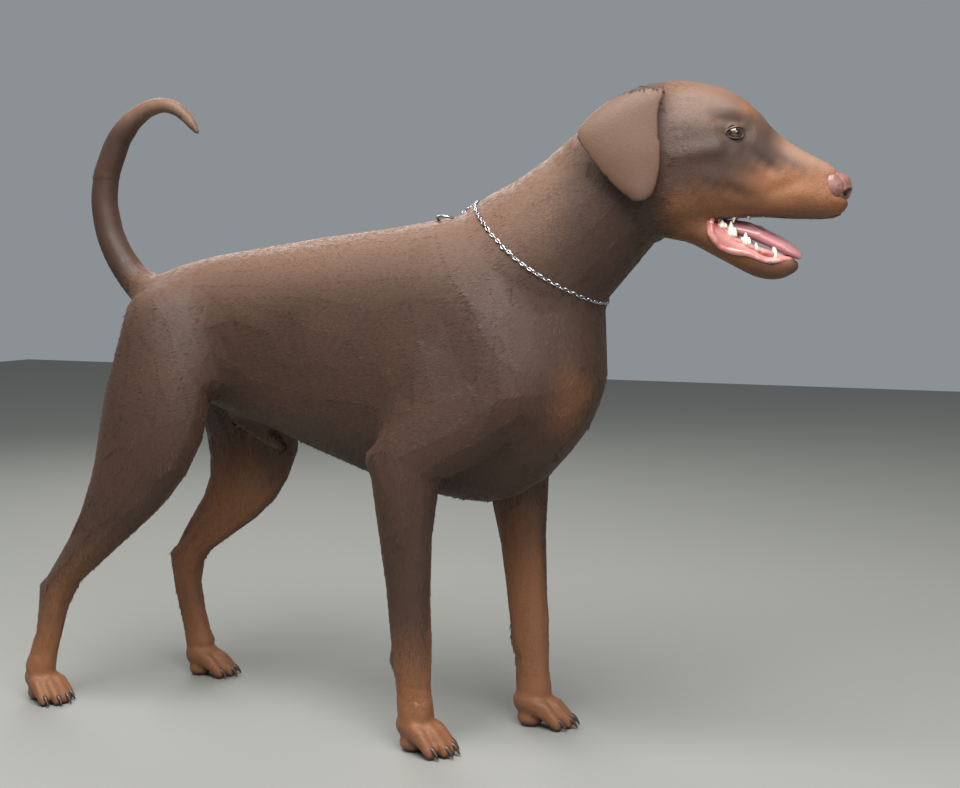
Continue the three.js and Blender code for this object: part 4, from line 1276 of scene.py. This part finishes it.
class DOG_OT_chain(bpy.types.Operator):
    """A fine slip chain: links round the neck, the run to its ring and the ring"""

    bl_idname = "dog.chain"
    bl_label = "Slip chain"

    def execute(self, context):
        details = context.scene.dog_details
        steel = new_material("Chain, bright steel", 0.24, 1.0, Base_Color=linear("#a9abad"))[0]
        bm = bmesh.new()
        self.links(bm, self.ring_path("collar_chain"), details, True)
        finish_piece(bm, "chain_links", steel, ("collar_chain",))
        bm = bmesh.new()
        self.links(bm, self.run_path("collar_end"), details, False)
        finish_piece(bm, "chain_end_links", steel, ("collar_end",))
        bm = bmesh.new()
        self.ring(bm)
        finish_piece(bm, "chain_ring", steel, ("collar_ring",))
        return {"FINISHED"}

    def node_points(self, name):
        """The vertices of a CAD node, in the frame."""
        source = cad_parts[name]
        world = np.array(source.matrix_world)
        clay = Clay(source.data)
        return clay.co @ world[:3, :3].T + world[:3, 3]

    def ring_path(self, name):
        """The middle line of a closed tube, from its vertices in even sectors about its centre."""
        points = self.node_points(name)
        away = points - points.mean(0)
        first, second, _ = np.linalg.svd(away, full_matrices=False)[2]
        angle = np.arctan2(away @ second, away @ first)
        sectors = 40
        index = ((angle + math.pi) / (2 * math.pi) * sectors).astype(int) % sectors
        middle = np.array([points[index == k].mean(0) for k in range(sectors) if (index == k).any()])
        looped = np.vstack([middle[-2:], middle, middle[:3]])
        fine = 600
        step = fine / (len(looped) - 1)
        return smooth_path(looped, fine)[int(2 * step):int((len(middle) + 2) * step)]

    def run_path(self, name):
        """The middle line of an open tube, along its longest direction."""
        points = self.node_points(name)
        away = points - points.mean(0)
        along = away @ np.linalg.svd(away, full_matrices=False)[2][0]
        bins = np.linspace(along.min(), along.max() + 1e-9, 9)
        inside = [(along >= a) & (along < b) for a, b in zip(bins, bins[1:])]
        return smooth_path(np.array([points[chosen].mean(0) for chosen in inside if chosen.any()]), 200)

    def links(self, bm, path, details, closed):
        """Oval links at an even pitch, each turned against its neighbour."""
        pitch = details.link - 2.4 * details.wire
        corners = np.vstack([path, path[:1]]) if closed else path
        gaps = np.linalg.norm(np.diff(corners, axis=0), axis=1)
        total = gaps.sum()
        whole = np.concatenate([[0], np.cumsum(gaps)])
        count = int(total / pitch)
        where = np.arange(count) * total / count
        places = np.stack([np.interp(where, whole, corners[:, k]) for k in range(3)], 1)
        for i in range(count - (0 if closed else 1)):
            here = places[i]
            way = places[(i + 1) % count] - places[i - 1 if closed or i else 0]
            way /= np.linalg.norm(way)
            side = np.cross(way, (0, 0, 1) if abs(way[2]) < 0.95 else (1, 0, 0))
            side /= np.linalg.norm(side)
            rise = np.cross(side, way)
            turn = math.radians(45 if i % 2 else -45)
            across = side * math.cos(turn) + rise * math.sin(turn)
            half = details.link / 2 - details.wire
            oval = []
            for k in range(12):
                angle = 2 * math.pi * k / 12
                oval.append(here + way * half * math.cos(angle) + across * half * 0.62 * math.sin(angle))
            sweep(bm, oval, details.wire, around=6, up=np.cross(way, across), closed=True)

    def ring(self, bm):
        """A round ring where the CAD node's one is, of its size and lie."""
        points = self.node_points("collar_ring")
        centre = points.mean(0)
        axes = np.linalg.svd(points - centre, full_matrices=False)[2]
        flat = np.abs((points - centre) @ axes[2]).max()
        reach = np.hypot((points - centre) @ axes[0], (points - centre) @ axes[1]).max()
        path = [
            centre + (reach - flat) * (axes[0] * math.cos(a) + axes[1] * math.sin(a))
            for a in np.linspace(0, 2 * math.pi, 48, endpoint=False)
        ]
        sweep(bm, path, flat, around=12, up=axes[2], closed=True)


# Name, place, size and power of each soft light
LAMPS = [
    ("sky", (0.4, -1.3, 2.9), 2.2, 190),
    ("front", (2.6, -2.2, 2.0), 1.6, 38),
    ("back", (-1.8, 1.8, 2.2), 1.5, 40),
]

# The photograph's viewpoint: degrees round from the animal's right side and above it, and metres away
VIEW_ROUND, VIEW_ABOVE, VIEW_AWAY = 24.6, 5.1, 2.0
# What it is aimed at, in body millimetres, its focal length and width in pixels, and the sensor's width
VIEW_AIM = (184, 0, 477)
FOCAL_PIXELS, IMAGE_PIXELS, SENSOR = 1475, 960, 36


class DOG_OT_stage(bpy.types.Operator):
    """Pale floor, soft light from above and the camera of the photograph"""

    bl_idname = "dog.stage"
    bl_label = "Stage"

    def execute(self, context):
        scene = context.scene
        floor_material = new_material("Floor, matt grey", roughness=0.8, Base_Color=linear("#84847e"))[0]
        bm = bmesh.new()
        bmesh.ops.create_grid(bm, x_segments=1, y_segments=1, size=6)
        floor = object_from(bm, "floor", floor_material, smooth=False)
        world = bpy.data.worlds.new("Pale sky")
        world.use_nodes = True
        sky = world.node_tree.nodes["Background"].inputs
        sky["Color"].default_value = linear("#cfd6dc")
        sky["Strength"].default_value = 0.42
        scene.world = world
        for name, place, size, power in LAMPS:
            light = bpy.data.lights.new(name, "AREA")
            light.size = size
            light.energy = power
            lamp = bpy.data.objects.new(name, light)
            lamp.location = place
            aim = Vector((0.1, 0, 0.5)) - lamp.location
            lamp.rotation_euler = aim.to_track_quat("-Z", "Y").to_euler()
            scene.collection.objects.link(lamp)
        self.camera(scene)
        scene.view_settings.view_transform = "Standard"
        return {"FINISHED"}

    def camera(self, scene):
        """The photograph's own viewpoint."""
        round_by, above = math.radians(VIEW_ROUND), math.radians(VIEW_ABOVE)
        level = math.cos(above)
        back = Vector((math.sin(round_by) * level, -math.cos(round_by) * level, math.sin(above)))
        lens = bpy.data.cameras.new("camera")
        lens.sensor_width = SENSOR
        lens.lens = SENSOR * FOCAL_PIXELS / IMAGE_PIXELS
        camera = bpy.data.objects.new("camera", lens)
        camera.location = Vector(at(*VIEW_AIM)) + back * VIEW_AWAY
        camera.rotation_euler = (-back).to_track_quat("-Z", "Y").to_euler()
        scene.collection.objects.link(camera)
        scene.camera = camera


class DOG_PT_panel(bpy.types.Panel):
    """Settings and one button for each piece"""

    bl_label = "Dog"
    bl_idname = "DOG_PT_panel"
    bl_space_type = "VIEW_3D"
    bl_region_type = "UI"
    bl_category = "Dog"

    def draw(self, context):
        for settings in (context.scene.dog_coat, context.scene.dog_details):
            for name in settings.__annotations__:
                self.layout.prop(settings, name)
        for operator in OPERATORS:
            self.layout.operator(operator.bl_idname)


OPERATORS = (
    DOG_OT_skin, DOG_OT_coat, DOG_OT_eyes, DOG_OT_nose,
    DOG_OT_mouth, DOG_OT_claws, DOG_OT_chain, DOG_OT_stage,
)
CLASSES = (CoatSettings, DetailSettings) + OPERATORS + (DOG_PT_panel,)


def register():
    for item in CLASSES:
        bpy.utils.register_class(item)
    bpy.types.Scene.dog_coat = PointerProperty(type=CoatSettings)
    bpy.types.Scene.dog_details = PointerProperty(type=DetailSettings)


def unregister():
    del bpy.types.Scene.dog_coat
    del bpy.types.Scene.dog_details
    for item in reversed(CLASSES):
        bpy.utils.unregister_class(item)


def main():
    register()
    bpy.ops.dog.skin()
    bpy.ops.dog.coat()
    bpy.ops.dog.eyes()
    bpy.ops.dog.nose()
    bpy.ops.dog.mouth()
    bpy.ops.dog.claws()
    bpy.ops.dog.chain()
    bpy.ops.dog.stage()


if __name__ == "__main__":
    main()
